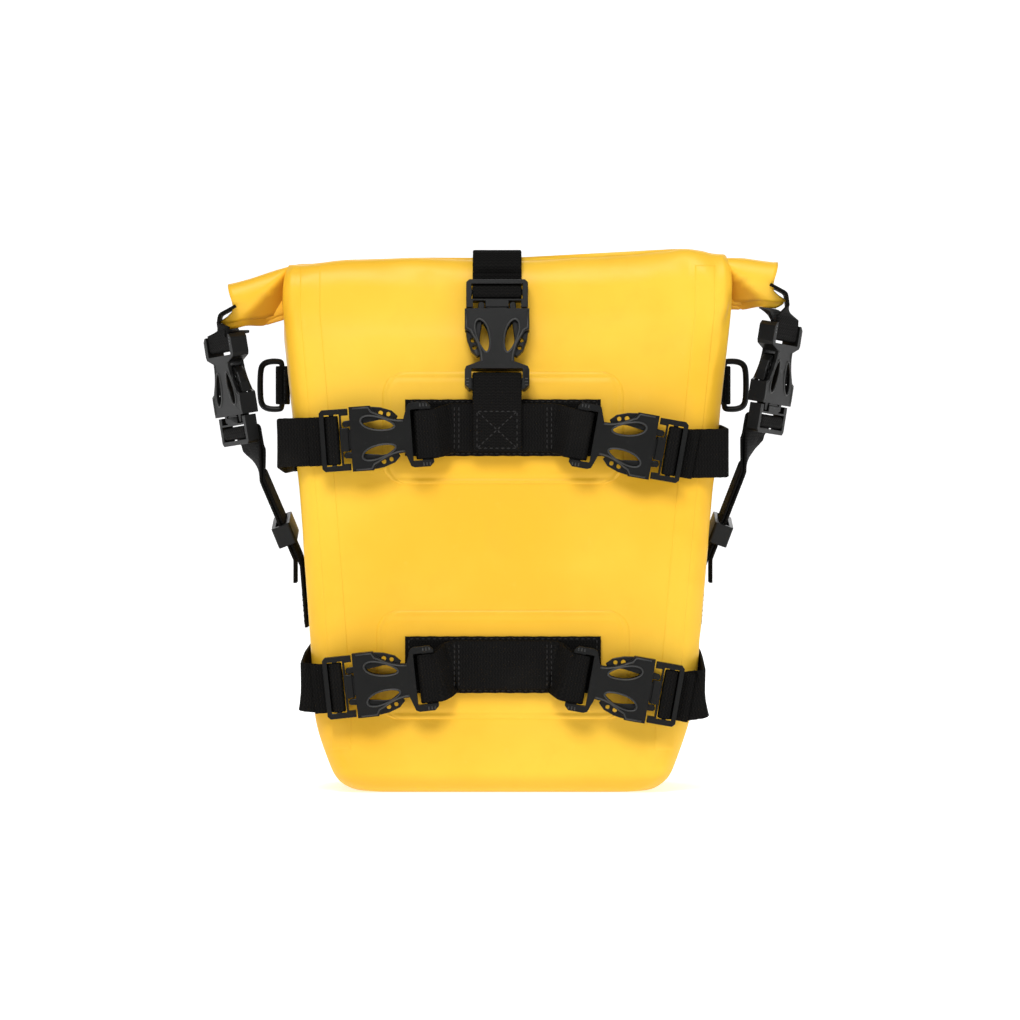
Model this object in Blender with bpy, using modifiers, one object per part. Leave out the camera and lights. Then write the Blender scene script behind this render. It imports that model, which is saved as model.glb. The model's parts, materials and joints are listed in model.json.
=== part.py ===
"""Roll-top tail bag: a welded tarpaulin bag with webbing straps and side-release buckles.

Metres, +Z up. The front faces -Y, +X is to the right, and the origin is the middle of the base.
Each buckle is built once in its own frame: u runs from the male end to the female end, v across
the webbing and w out of the face.
"""
import math

import bmesh
import bpy
from mathutils import Matrix, Vector

MM = 0.001

# Bag, overall
BAG_HEIGHT = 246 * MM           # base to the foot of the roll
BAG_DEPTH = 110 * MM            # at the base
WIDTH_TOP = 230 * MM            # across the front at the foot of the roll
WIDTH_FOOT = 192 * MM           # across the front just above the base corners
BASE_CORNER = 26 * MM           # corner of the front outline
FRONT_LEAN = 11 * MM            # how far the front goes back on its way up
SHEET = 1.0 * MM                # tarpaulin
GAP = 0.3 * MM                  # between pieces that touch

# Roll
MOUTH_DEPTH = 52 * MM           # the gusset at the mouth, unfolded into the roll's ends
ROLL_LENGTH = WIDTH_TOP + MOUTH_DEPTH
ROLL_HEIGHT = 26 * MM
ROLL_DEPTH = 18 * MM
ROLL_PITCH = 1.7 * MM           # from one layer to the next
ROLL_TURNS = 2.2
ROLL_BEHIND_FRONT = 2.2 * MM    # roll's front face behind the panel's top edge
MOUTH_STRIP_WIDTH = 9 * MM
MOUTH_STRIP_THICK = 1.2 * MM
MOUTH_STRIP_INSET = 8 * MM      # from the roll's ends

# Inside and on the faces
BOARD_THICK = 2.0 * MM
BOARD_MARGIN = 12 * MM
BACK_STRAIGHT = BAG_HEIGHT - 51 * MM    # height to which the back is flat
BOARD_HEIGHT = BACK_STRAIGHT - 15 * MM
PATCH_THICK = 0.7 * MM
UPPER_PATCH_WIDTH = 124 * MM
UPPER_PATCH_HEIGHT = 58 * MM
LOWER_PATCH_WIDTH = 130 * MM
LOWER_PATCH_HEIGHT = 56 * MM
PATCH_CORNER = 9 * MM

# Webbing
WEB = 25 * MM
WEB_THICK = 1.6 * MM
TAB_WEB = 20 * MM
BASE_STRIP_LENGTH = 100 * MM
BASE_STRIP_WIDTH = 29 * MM
UPPER_STRAP_Z = BAG_HEIGHT - 59 * MM    # middle of the upper front strap
LOWER_STRAP_Z = 66 * MM
UPPER_WRAP_Z = UPPER_STRAP_Z - 11 * MM  # where it goes round the sides
LOWER_WRAP_Z = LOWER_STRAP_Z - 6 * MM
TOP_STRAP_X = -3 * MM
TOP_STRAP_RISE = 3.5 * MM       # slack of the top strap over the roll
UPPER_SLACK = 10 * MM           # how far a wrap strap stands off the side at the front
LOWER_SLACK = 4 * MM
SEWN_HALF = 26 * MM             # half of the stretch where a front strap lies on its base strip
WRAP_SLACK_BACK = 1.6 * MM
KEEPER_X = 55 * MM
ANCHOR_FOOT = 12 * MM           # below the middle of the upper strap

# Side-release buckle
BUCKLE_SIDE = 4 * MM            # beside the webbing
BUCKLE_WIDTH = WEB + 2 * BUCKLE_SIDE
BUCKLE_THICK = 9 * MM
FEMALE_LENGTH = 42 * MM
FEMALE_BAR = 5.8 * MM           # bar at the female end
BAR_THICK = 4.0 * MM
WAIST = 17.2 * MM               # the face plate where the arms show beside it
SLOT = WEB_THICK + 3.1 * MM     # webbing slot beside that bar
MALE_LENGTH = 15 * MM           # the part outside the female half
MALE_THICK = 6.4 * MM
MALE_SLOT = WEB_THICK + 1.1 * MM
MALE_BAR = 2.4 * MM
MALE_BAR_THICK = 3.2 * MM
LATCH_U = 11.2 * MM             # edge that the latch arms bear on
ARM_THICK = 5.0 * MM
ARM_ROOT_V = 8.0 * MM
ARM_ROOT_R = 1.7 * MM
ARM_ROOT_U = -1.9 * MM
ARM_LENGTH = 27 * MM            # root to tip
WALL = 1.6 * MM                 # female half's plates
FIT = 0.35 * MM                 # sliding fit of male in female

# Side closures
EAR_LOOP_DROP = 9 * MM
SIDE_BUCKLE_TURN = 28           # degrees that its face is turned to the front
SIDE_BUCKLE_LEAN = 9            # degrees from upright
SIDE_LOW = {"left": -3 * MM, "right": 3 * MM}
SIDE_SEWN_Z = BAG_HEIGHT - 128 * MM
SLIDER_LENGTH = 11 * MM
SLIDER_WALL = 2.2 * MM

# Rings
RING_WIRE = 3.6 * MM
RING_REACH = 12 * MM
RING_Z = BAG_HEIGHT - 37 * MM
RING_Y = 8 * MM


def clear_scene():
    for item in list(bpy.data.objects):
        bpy.data.objects.remove(item, do_unlink=True)


def new_collection(name):
    group = bpy.data.collections.new(name)
    bpy.context.scene.collection.children.link(group)
    return group


clear_scene()
BAG = new_collection("tail_bag")
CUTTERS = new_collection("cutters")


def finish(name, colour, roughness):
    """A Principled material of one colour."""
    made = bpy.data.materials.new(name)
    made.use_nodes = True
    shader = made.node_tree.nodes["Principled BSDF"]
    shader.inputs["Base Color"].default_value = (*colour, 1)
    shader.inputs["Roughness"].default_value = roughness
    shader.inputs["Metallic"].default_value = 0
    return made


TARPAULIN = finish("tarpaulin", (0.98, 0.60, 0.05), 0.45)
WEBBING = finish("webbing", (0.012, 0.012, 0.012), 0.85)
ACETAL = finish("acetal", (0.022, 0.022, 0.024), 0.4)
BOARD = finish("board", (0.05, 0.05, 0.05), 0.6)


def add(name, mesh, material, parent=None, place=None):
    """Put a mesh in the bag's collection as one named piece."""
    piece = bpy.data.objects.new(name, mesh)
    BAG.objects.link(piece)
    if not mesh.materials:
        mesh.materials.append(material)
    if parent:
        piece.parent = parent
    if place:
        piece.location = place
    return piece


def solidify(piece, thickness, offset=0.0):
    shell = piece.modifiers.new("thickness", "SOLIDIFY")
    shell.thickness = thickness
    shell.offset = offset
    shell.use_even_offset = True
    return piece


# ---------------------------------------------------------------- outlines and ribbons

def fillet(corners, radius, steps=4):
    """Round the inner corners of an open 3-D path. Corners are (point, across) pairs."""
    path = [corners[0]]
    for before, here, after in zip(corners, corners[1:], corners[2:]):
        point, across = here
        back = before[0] - point
        on = after[0] - point
        reach = min(radius, back.length * 0.28, on.length * 0.28)
        start = point + back.normalized() * reach
        end = point + on.normalized() * reach
        for step in range(steps + 1):
            t = step / steps
            bent = start * (1 - t) ** 2 + point * 2 * t * (1 - t) + end * t ** 2
            path.append((bent, across))
    path.append(corners[-1])
    return path


def ribbon(name, path, width, thickness, material):
    """A strip of the given width along a path of (point, across) pairs."""
    bm = bmesh.new()
    rails = []
    facing = path[0][1]
    for point, across in path:
        facing = across if across.dot(facing) > 0 else -across
        half = facing.normalized() * (width / 2)
        rails.append((bm.verts.new(point - half), bm.verts.new(point + half)))
    for (low, high), (next_low, next_high) in zip(rails, rails[1:]):
        bm.faces.new((low, next_low, next_high, high))
    mesh = bpy.data.meshes.new(name)
    bm.to_mesh(mesh)
    bm.free()
    return solidify(add(name, mesh, material), thickness)


def flat_outline(name, loops, thickness):
    """A mesh plate in the XY plane: the first loop is its edge and the others are holes."""
    curve = bpy.data.curves.new(name, "CURVE")
    curve.dimensions = "2D"
    curve.fill_mode = "BOTH"
    curve.extrude = thickness / 2
    for loop in loops:
        spline = curve.splines.new("POLY")
        spline.points.add(len(loop) - 1)
        for point, (x, y) in zip(spline.points, loop):
            point.co = (x, y, 0, 1)
        spline.use_cyclic_u = True
    guide = bpy.data.objects.new(name, curve)
    bpy.context.scene.collection.objects.link(guide)
    mesh = mesh_of(guide)
    bpy.data.objects.remove(guide)
    bm = bmesh.new()
    bm.from_mesh(mesh)
    bmesh.ops.remove_doubles(bm, verts=bm.verts, dist=1e-6)
    bmesh.ops.recalc_face_normals(bm, faces=bm.faces)
    bm.to_mesh(mesh)
    bm.free()
    return mesh


def mesh_of(item):
    """The item's shape with its modifiers, as a mesh of its own."""
    graph = bpy.context.evaluated_depsgraph_get()
    graph.update()
    return bpy.data.meshes.new_from_object(item.evaluated_get(graph))


def round_box(half_x, half_y, radius, middle=(0, 0), steps=3):
    """Points round a rectangle with round corners."""
    points = []
    corners = ((1, 1, 0), (-1, 1, 90), (-1, -1, 180), (1, -1, 270))
    for side_x, side_y, start in corners:
        for step in range(steps + 1):
            angle = math.radians(start + 90 * step / steps)
            points.append((middle[0] + side_x * (half_x - radius) + radius * math.cos(angle),
                           middle[1] + side_y * (half_y - radius) + radius * math.sin(angle)))
    return points


def cutter_box(low, high):
    """A box cutter between two corners."""
    bm = bmesh.new()
    bmesh.ops.create_cube(bm, size=1)
    low, high = Vector(low), Vector(high)
    bmesh.ops.scale(bm, vec=high - low, verts=bm.verts)
    bmesh.ops.translate(bm, vec=(low + high) / 2, verts=bm.verts)
    mesh = bpy.data.meshes.new("cutter")
    bm.to_mesh(mesh)
    bm.free()
    return cutter_piece(mesh)


def cutter_piece(mesh):
    cutter = bpy.data.objects.new("cutter", mesh)
    CUTTERS.objects.link(cutter)
    cutter.hide_render = True
    cutter.display_type = "WIRE"
    return cutter


def cut(mesh, cutters):
    """The mesh with each cutter taken out of it, as a new mesh."""
    blank = bpy.data.objects.new("blank", mesh)
    bpy.context.scene.collection.objects.link(blank)
    for number, cutter in enumerate(cutters):
        step = blank.modifiers.new(f"cut_{number}", "BOOLEAN")
        step.operation = "DIFFERENCE"
        step.object = cutter
    result = mesh_of(blank)
    bpy.data.objects.remove(blank)
    for cutter in cutters:
        bpy.data.objects.remove(cutter)
    return result


# ---------------------------------------------------------------- the bag's form

def smooth(t):
    t = max(0.0, min(1.0, t))
    return t * t * (3 - 2 * t)


def half_width(z):
    """Half the bag's width at a height, with the round corners at its foot."""
    t = max(0.0, min(1.0, z / BAG_HEIGHT))
    half = (WIDTH_FOOT + (WIDTH_TOP - WIDTH_FOOT) * t ** 1.25) / 2
    if z < BASE_CORNER:
        rise = 1 - z / BASE_CORNER
        half -= BASE_CORNER * (1 - math.sqrt(max(0.0, 1 - rise * rise)))
    return half


def front_y(z):
    """Outer face of the front panel: nearly upright, leaning back towards the mouth."""
    return -BAG_DEPTH / 2 + FRONT_LEAN * max(0.0, z / BAG_HEIGHT) ** 3


ROLL_FRONT_Y = front_y(BAG_HEIGHT) + ROLL_BEHIND_FRONT
ROLL_Y = ROLL_FRONT_Y + ROLL_DEPTH / 2
ROLL_Z = BAG_HEIGHT + 2 * GAP + ROLL_HEIGHT / 2
ROLL_TOP = ROLL_Z + ROLL_HEIGHT / 2


def back_y(z):
    """Outer face of the back panel: flat, then closing towards the roll."""
    t = (z - BACK_STRAIGHT) / (BAG_HEIGHT - BACK_STRAIGHT)
    closed = ROLL_Y + ROLL_DEPTH / 2 + 2 * MM
    return BAG_DEPTH / 2 + (closed - BAG_DEPTH / 2) * smooth(t)


FOOT_STEPS = 5
STRAIGHT_STEPS = 8
TOP_STEPS = 7
PANEL_HEIGHTS = [BASE_CORNER * (1 - math.cos(math.radians(90 * k / FOOT_STEPS)))
                 for k in range(FOOT_STEPS)]
PANEL_HEIGHTS += [BASE_CORNER + (BACK_STRAIGHT - BASE_CORNER) * k / STRAIGHT_STEPS
                  for k in range(STRAIGHT_STEPS)]
TOP_HEIGHTS = [BACK_STRAIGHT + (BAG_HEIGHT - BACK_STRAIGHT) * k / TOP_STEPS
               for k in range(TOP_STEPS + 1)]
PANEL_HEIGHTS += TOP_HEIGHTS


def level_depth(face_y, z, depth):
    """A depth square to a face, measured level."""
    step = (BAG_HEIGHT - BACK_STRAIGHT) / TOP_STEPS
    slope = (face_y(z + step / 2) - face_y(z - step / 2)) / step
    return depth * math.sqrt(1 + slope * slope)


def panel(name, face_y, inward):
    """A face panel: rows of points at each height, given its thickness towards the inside."""
    bm = bmesh.new()
    rows = []
    columns = 8
    for z in PANEL_HEIGHTS:
        half = half_width(z)
        rows.append([bm.verts.new((half * (2 * c / columns - 1), face_y(z), z))
                     for c in range(columns + 1)])
    for low, high in zip(rows, rows[1:]):
        for c in range(columns):
            bm.faces.new((low[c], low[c + 1], high[c + 1], high[c]))
    mesh = bpy.data.meshes.new(name)
    bm.to_mesh(mesh)
    bm.free()
    return solidify(add(name, mesh, TARPAULIN), SHEET, inward)


def gusset():
    """One band down the left side, under the base and up the right side."""
    side = [(half_width(z), z) for z in reversed(PANEL_HEIGHTS)]
    outline = [(-x, z) for x, z in side] + side[::-1]
    bm = bmesh.new()
    rails = []
    for x, z in outline:
        front = front_y(z) + level_depth(front_y, z, SHEET + GAP)
        back = back_y(z) - level_depth(back_y, z, SHEET + 2 * GAP)
        rails.append((bm.verts.new((x, front, z)), bm.verts.new((x, back, z))))
    for (a, b), (c, d) in zip(rails, rails[1:]):
        bm.faces.new((a, c, d, b))
    mesh = bpy.data.meshes.new("gusset")
    bm.to_mesh(mesh)
    bm.free()
    return solidify(add("gusset", mesh, TARPAULIN), SHEET, 1)


def rolled_mouth():
    """The collar of the mouth, rolled on itself towards the back, and the strip in its middle."""
    across = Vector((1, 0, 0))
    per_turn = 16
    path = []
    for k in range(int(ROLL_TURNS * per_turn) + 1):
        turn = k / per_turn
        angle = math.radians(200) - 2 * math.pi * turn
        shrink = ROLL_PITCH * turn + SHEET / 2
        y = ROLL_Y + (ROLL_DEPTH / 2 - shrink) * math.cos(angle)
        z = ROLL_Z + (ROLL_HEIGHT / 2 - shrink) * math.sin(angle)
        path.append((Vector((0, y, z)), across))
    ribbon("rolled_collar", path, ROLL_LENGTH, SHEET, TARPAULIN)
    half = MOUTH_STRIP_WIDTH / 2
    strip = [(Vector((0, ROLL_Y, ROLL_Z - half)), across),
             (Vector((0, ROLL_Y, ROLL_Z + half)), across)]
    ribbon("mouth_stiffener", strip, ROLL_LENGTH - 2 * MOUTH_STRIP_INSET, MOUTH_STRIP_THICK, BOARD)


def back_board():
    """Stiff board inside the back panel."""
    half = WIDTH_FOOT / 2 - BOARD_MARGIN
    outline = round_box(half, BOARD_HEIGHT / 2, BOARD_MARGIN)
    board = add("back_board", flat_outline("back_board", [outline], BOARD_THICK), BOARD)
    inner_face = BAG_DEPTH / 2 - SHEET - GAP - BOARD_THICK / 2
    board.location = (0, inner_face, BOARD_MARGIN + BOARD_HEIGHT / 2)
    board.rotation_euler = (math.radians(90), 0, 0)


def patch(name, width, height, z):
    """A welded reinforcement behind a front strap, lying on the front panel."""
    bm = bmesh.new()
    steps = 6
    rows = []
    for k in range(steps + 1):
        height_here = z + height * (k / steps - 0.5)
        edge = min(k, steps - k) / steps * height
        inset = max(0.0, PATCH_CORNER - edge) * 0.6
        y = front_y(height_here) - GAP - PATCH_THICK / 2
        half = width / 2 - inset
        rows.append((bm.verts.new((-half, y, height_here)), bm.verts.new((half, y, height_here))))
    for (a, b), (c, d) in zip(rows, rows[1:]):
        bm.faces.new((a, b, d, c))
    mesh = bpy.data.meshes.new(name)
    bm.to_mesh(mesh)
    bm.free()
    solidify(add(name, mesh, TARPAULIN), PATCH_THICK)


# ---------------------------------------------------------------- side-release buckle

HALF_W = BUCKLE_WIDTH / 2
SLOT_U = FEMALE_LENGTH - FEMALE_BAR - SLOT
CAVITY_U = LATCH_U + 16 * MM
CAVITY_V = HALF_W - 2 * WALL
CAVITY_W = BUCKLE_THICK / 2 - WALL
ARM_HEAD_V = HALF_W - 0.6 * MM
ARM_TIP_U = ARM_ROOT_U + ARM_LENGTH
SLOT_A = -4.9 * MM              # slot next to the neck of the male half
SLOT_B = SLOT_A - MALE_SLOT - MALE_BAR
WEB_SLOT_V = WEB / 2 + 0.6 * MM


def teardrop(side):
    """See-through opening over an arm's spring, slanting in towards the waist."""
    points = []
    steps = 12
    for k in range(steps):
        angle = 2 * math.pi * k / steps
        along = 8.2 * MM * math.cos(angle)
        middle = 7.2 * MM - 0.22 * along
        v = middle + (3.0 - 0.7 * math.cos(angle)) * MM * math.sin(angle)
        points.append((14.5 * MM + along, side * v))
    return points


def female_outline():
    """Square at the mouth, drawn in at the waist and square again at the bar."""
    waist = WAIST / 2
    upper = [(0.4 * MM, HALF_W), (LATCH_U, HALF_W), (LATCH_U + 1.2 * MM, HALF_W - 2.4 * MM)]
    for k in range(1, 6):
        t = k / 5
        upper.append((LATCH_U + 1.2 * MM + (SLOT_U - 5 * MM - LATCH_U) * t,
                      waist + (HALF_W - 2.4 * MM - waist) * (1 - t) ** 2))
    upper += [(SLOT_U - 1.2 * MM, HALF_W - 0.8 * MM), (SLOT_U + 0.6 * MM, HALF_W),
              (FEMALE_LENGTH - 2 * MM, HALF_W), (FEMALE_LENGTH, HALF_W - 2 * MM)]
    lower = [(u, -v) for u, v in reversed(upper)]
    return upper + lower


def female_mesh():
    slot = round_box(SLOT / 2, WEB_SLOT_V, 0.3 * MM, (SLOT_U + SLOT / 2, 0), 1)
    blank = flat_outline("female", [female_outline(), slot, teardrop(1), teardrop(-1)], BUCKLE_THICK)
    thin = BAR_THICK / 2
    over = BUCKLE_THICK
    bar_from = SLOT_U + SLOT - 0.1 * MM
    cutters = [
        cutter_box((-over, -CAVITY_V, -CAVITY_W), (CAVITY_U, CAVITY_V, CAVITY_W)),
        cutter_box((LATCH_U, -2 * HALF_W, -CAVITY_W), (CAVITY_U - 1 * MM, 2 * HALF_W, CAVITY_W)),
        cutter_box((bar_from, -WEB_SLOT_V, thin), (2 * FEMALE_LENGTH, WEB_SLOT_V, over)),
        cutter_box((bar_from, -WEB_SLOT_V, -over), (2 * FEMALE_LENGTH, WEB_SLOT_V, -thin)),
    ]
    return cut(blank, cutters)


def male_mesh():
    """Adjuster frame with two slots, the neck, and the guide tongue between the arms."""
    half = HALF_W - 0.7 * MM
    neck_end = -FIT
    tongue = 2.0 * MM
    tongue_end = CAVITY_U - 1.2 * MM
    notch_in = ARM_ROOT_V - ARM_ROOT_R - GAP
    notch_out = CAVITY_V - 1.0 * MM
    notch_u = ARM_ROOT_U - ARM_ROOT_R - GAP
    upper = [(-MALE_LENGTH, half - 1.5 * MM), (-MALE_LENGTH + 1.5 * MM, half), (neck_end, half),
             (neck_end, notch_out), (notch_u, notch_out), (notch_u, notch_in),
             (neck_end, notch_in), (1.5 * MM, tongue), (tongue_end, tongue)]
    outline = upper + [(u, -v) for u, v in reversed(upper)]
    blank = flat_outline("male", [outline], MALE_THICK)
    thin = MALE_BAR_THICK / 2
    inside = CAVITY_W - FIT
    over = BUCKLE_THICK
    bar = (SLOT_B - 0.1 * MM, SLOT_A - MALE_SLOT + 0.1 * MM)
    cutters = [cutter_box((near - MALE_SLOT, -WEB_SLOT_V, -over), (near, WEB_SLOT_V, over))
               for near in (SLOT_A, SLOT_B)]
    for side in (1, -1):
        for low, high, level, half_v in ((bar[0], bar[1], thin, WEB_SLOT_V - 0.35 * MM),
                                         (neck_end - 0.3 * MM, FEMALE_LENGTH, inside, notch_in + 0.1 * MM)):
            heights = sorted((side * level, side * over))
            cutters.append(cutter_box((low, -half_v, heights[0]), (high, half_v, heights[1])))
    return cut(blank, cutters)


def arm_mesh():
    """A latch arm, its root at the origin: a round knuckle, a slim spring and a head with two eyes."""
    head = ARM_HEAD_V - ARM_ROOT_V
    shoulder = LATCH_U + FIT - ARM_ROOT_U
    root = [(ARM_ROOT_R * math.cos(math.radians(a)), ARM_ROOT_R * math.sin(math.radians(a)))
            for a in range(70, 291, 44)]
    outer = [(ARM_LENGTH, 2.2 * MM), (ARM_LENGTH - 3 * MM, head - 2.6 * MM),
             (shoulder + 5 * MM, head - 0.6 * MM), (shoulder + 0.8 * MM, head), (shoulder, head),
             (shoulder, 3.2 * MM), (shoulder - 4 * MM, 2.6 * MM)]
    inner = [(shoulder - 4 * MM, -0.2 * MM), (shoulder + 4 * MM, 0.9 * MM), (ARM_LENGTH - 1 * MM, 0.4 * MM)]
    eyes = [[(u + r * math.cos(math.radians(a)), v + r * math.sin(math.radians(a)))
             for a in range(0, 360, 45)]
            for u, v, r in ((18.4 * MM, 4.4 * MM, 1.25 * MM), (22.3 * MM, 3.5 * MM, 1.15 * MM))]
    return flat_outline("arm", [root + inner + outer] + eyes, ARM_THICK)


FEMALE = female_mesh()
MALE = male_mesh()
ARM = arm_mesh()


def frame_matrix(origin, u, w):
    """World place of a buckle from its origin, its long axis and its face."""
    u = Vector(u).normalized()
    w = Vector(w)
    w = (w - u * w.dot(u)).normalized()
    v = w.cross(u)
    turn = Matrix((u, v, w)).transposed().to_4x4()
    return Matrix.Translation(origin) @ turn


def buckle(name, place):
    """A closed buckle at a place: female half, male half and the male half's two latch arms."""
    holder = bpy.data.objects.new(f"{name}_frame", None)
    BAG.objects.link(holder)
    holder.matrix_world = place
    add(f"{name}_female", FEMALE, ACETAL, holder)
    add(f"{name}_male", MALE, ACETAL, holder)
    for label, side in (("a", 1), ("b", -1)):
        arm = add(f"{name}_arm_{label}", ARM, ACETAL, holder, (ARM_ROOT_U, side * ARM_ROOT_V, 0))
        arm.rotation_euler = (0 if side > 0 else math.pi, 0, 0)


def at(place, u, w):
    """A webbing corner given in a buckle's own frame, with the direction across the webbing."""
    return place @ Vector((u, 0, w)), place.to_3x3() @ Vector((0, 1, 0))


LOOP_W = BAR_THICK / 2 + GAP + WEB_THICK / 2
LOOP_U = SLOT_U + SLOT / 2
TAIL_W = -(MALE_THICK / 2 + GAP + WEB_THICK / 2)
STANDING_W = TAIL_W - WEB_THICK - GAP
OVER_BAR_W = MALE_BAR_THICK / 2 + GAP + WEB_THICK / 2
CLIMB_A = SLOT_A - MALE_SLOT / 2
CLIMB_B = SLOT_B - MALE_SLOT / 2
WEB_BEND = 2.2 * MM


def female_loop(place, legs):
    """Webbing round the female end's bar: in on the back, out on the face."""
    return [at(place, FEMALE_LENGTH + legs, -LOOP_W), at(place, LOOP_U, -LOOP_W),
            at(place, LOOP_U, LOOP_W), at(place, FEMALE_LENGTH + legs, LOOP_W)]


def male_lace(place, tail):
    """Webbing laced through the adjuster: the tail first, the standing part last."""
    return [at(place, CLIMB_B - tail, TAIL_W), at(place, CLIMB_B, TAIL_W),
            at(place, CLIMB_B, OVER_BAR_W), at(place, CLIMB_A, OVER_BAR_W),
            at(place, CLIMB_A, STANDING_W), at(place, -MALE_LENGTH - 2 * MM, STANDING_W)]


# ---------------------------------------------------------------- front straps and their buckles

UP = Vector((0, 0, 1))
LAYER = WEB_THICK + GAP


def strip_y(z):
    """Middle of a strip sewn on the front panel over its patch."""
    return front_y(z) - GAP - PATCH_THICK - GAP - WEB_THICK / 2


def front_strap(name, z, wrap_z, slack, female_x, droop, tilts):
    """Base strip, looped strap, two buckles and the strap that goes round the bag."""
    base_y = strip_y(z - BASE_STRIP_WIDTH / 2)
    half = BASE_STRIP_LENGTH / 2
    base = [(Vector((side * half, base_y, z)), UP) for side in (-1, 1)]
    ribbon(f"{name}_base_strip", base, BASE_STRIP_WIDTH, WEB_THICK, WEBBING)

    plane_y = base_y - WEB_THICK / 2 - GAP + STANDING_W - WEB_THICK / 2
    places = {}
    for side, tilt in zip((-1, 1), tilts):
        u = Vector((-side * math.cos(math.radians(tilt)), 0, math.sin(math.radians(tilt))))
        end = Vector((side * female_x, plane_y, z - droop))
        places[side] = frame_matrix(end - u * FEMALE_LENGTH, u, (0, -1, 0))
    buckle(f"{name}_left_buckle", places[-1])
    buckle(f"{name}_right_buckle", places[1])

    back_leg = base_y - LAYER
    front_leg = back_leg - LAYER
    sewn = SEWN_HALF
    left = female_loop(places[-1], 2 * MM)
    right = female_loop(places[1], 2 * MM)[::-1]
    corners = [(Vector((-1 * MM, back_leg, z)), UP), (Vector((-sewn, back_leg, z)), UP)] + left
    corners += [(Vector((-sewn, front_leg, z)), UP), (Vector((sewn, front_leg, z)), UP)] + right
    corners += [(Vector((sewn, back_leg, z)), UP), (Vector((1 * MM, back_leg, z)), UP)]
    ribbon(f"{name}_centre_webbing", fillet(corners, WEB_BEND), WEB, WEB_THICK, WEBBING)

    side_x = half_width(wrap_z + WEB / 2) + GAP + WEB_THICK / 2
    front_x = side_x + slack
    back_x = side_x + WRAP_SLACK_BACK
    corner_y = plane_y - STANDING_W
    behind = BAG_DEPTH / 2 + 2 * GAP + WEB_THICK / 2
    left = male_lace(places[-1], 10 * MM)
    right = male_lace(places[1], 10 * MM)[::-1]
    sides = {side: [(Vector((side * front_x, corner_y, wrap_z)), UP),
                    (Vector((side * (front_x - slack * 0.6), corner_y + 24 * MM, wrap_z)), UP),
                    (Vector((side * back_x, behind, wrap_z)), UP)] for side in (-1, 1)}
    corners = left + sides[-1] + sides[1][::-1] + right
    ribbon(f"{name}_wrap_webbing", fillet(corners, 2 * WEB_BEND), WEB, WEB_THICK, WEBBING)
    return front_leg


def top_strap(front_leg):
    """Strap over the roll: sewn to the back, laced in the top buckle, anchored on the upper strap."""
    x = TOP_STRAP_X
    side = Vector((1, 0, 0))
    high = ROLL_TOP - 10 * MM - MALE_LENGTH
    low = high - FEMALE_LENGTH
    upper_point = Vector((x, front_y(high) + STANDING_W - 1.5 * MM, high))
    lower_point = Vector((x, front_leg - 1.5 * LAYER + 1 * MM, low))
    place = frame_matrix(upper_point, lower_point - upper_point, (0, -1, 0))
    buckle("top_buckle", place)

    foot = UPPER_STRAP_Z - ANCHOR_FOOT
    shelf = UPPER_STRAP_Z + BASE_STRIP_WIDTH / 2 + 1 * MM
    back_leg = front_leg - LAYER
    face_leg = back_leg - LAYER
    corners = [(Vector((x, back_leg, foot)), side), (Vector((x, back_leg, shelf)), side)]
    corners += female_loop(place, 0.5 * MM)
    corners += [(Vector((x, face_leg, shelf)), side), (Vector((x, face_leg, foot)), side)]
    ribbon("anchor_webbing", fillet(corners, WEB_BEND), WEB, WEB_THICK, WEBBING)

    over = ROLL_TOP + TOP_STRAP_RISE
    ahead = ROLL_FRONT_Y - 4 * MM
    rear = ROLL_Y + ROLL_DEPTH / 2 + 3 * MM
    clear = GAP + WEB_THICK / 2 + 0.6 * MM
    corners = male_lace(place, 12 * MM)
    corners += [(Vector((x, ahead, over - 7 * MM)), side), (Vector((x, ahead + 6 * MM, over)), side),
                (Vector((x, rear - 5 * MM, over - 1 * MM)), side),
                (Vector((x, rear, ROLL_Z + 2 * MM)), side)]
    for z in TOP_HEIGHTS[-2:0:-1]:
        corners.append((Vector((x, back_y(z) + level_depth(back_y, z, clear + 0.4 * MM), z)), side))
    last = BAG_DEPTH / 2 + clear
    corners += [(Vector((x, last, BACK_STRAIGHT - 1 * MM)), side),
                (Vector((x, last, UPPER_WRAP_Z + WEB / 2 + 2 * MM)), side)]
    ribbon("top_webbing", fillet(corners, WEB_BEND, 3), WEB, WEB_THICK, WEBBING)


def back_keeper(name, x):
    """Vertical strip sewn on the back, under which the wrap straps run."""
    side = Vector((1, 0, 0))
    near = BAG_DEPTH / 2 + GAP + WEB_THICK / 2
    far = near + LAYER + 2 * GAP
    reach = WEB / 2 + 6 * MM
    corners = []
    for z in (LOWER_WRAP_Z, UPPER_WRAP_Z):
        corners += [(Vector((x, near, z - reach)), side), (Vector((x, far, z - WEB / 2 - 1 * MM)), side),
                    (Vector((x, far, z + WEB / 2 + 1 * MM)), side), (Vector((x, near, z + reach)), side)]
    bottom = (Vector((x, near, LOWER_WRAP_Z - reach - 12 * MM)), side)
    ribbon(name, fillet([bottom] + corners, WEB_BEND, 2), WEB, WEB_THICK, WEBBING)


# ---------------------------------------------------------------- side closures

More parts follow.
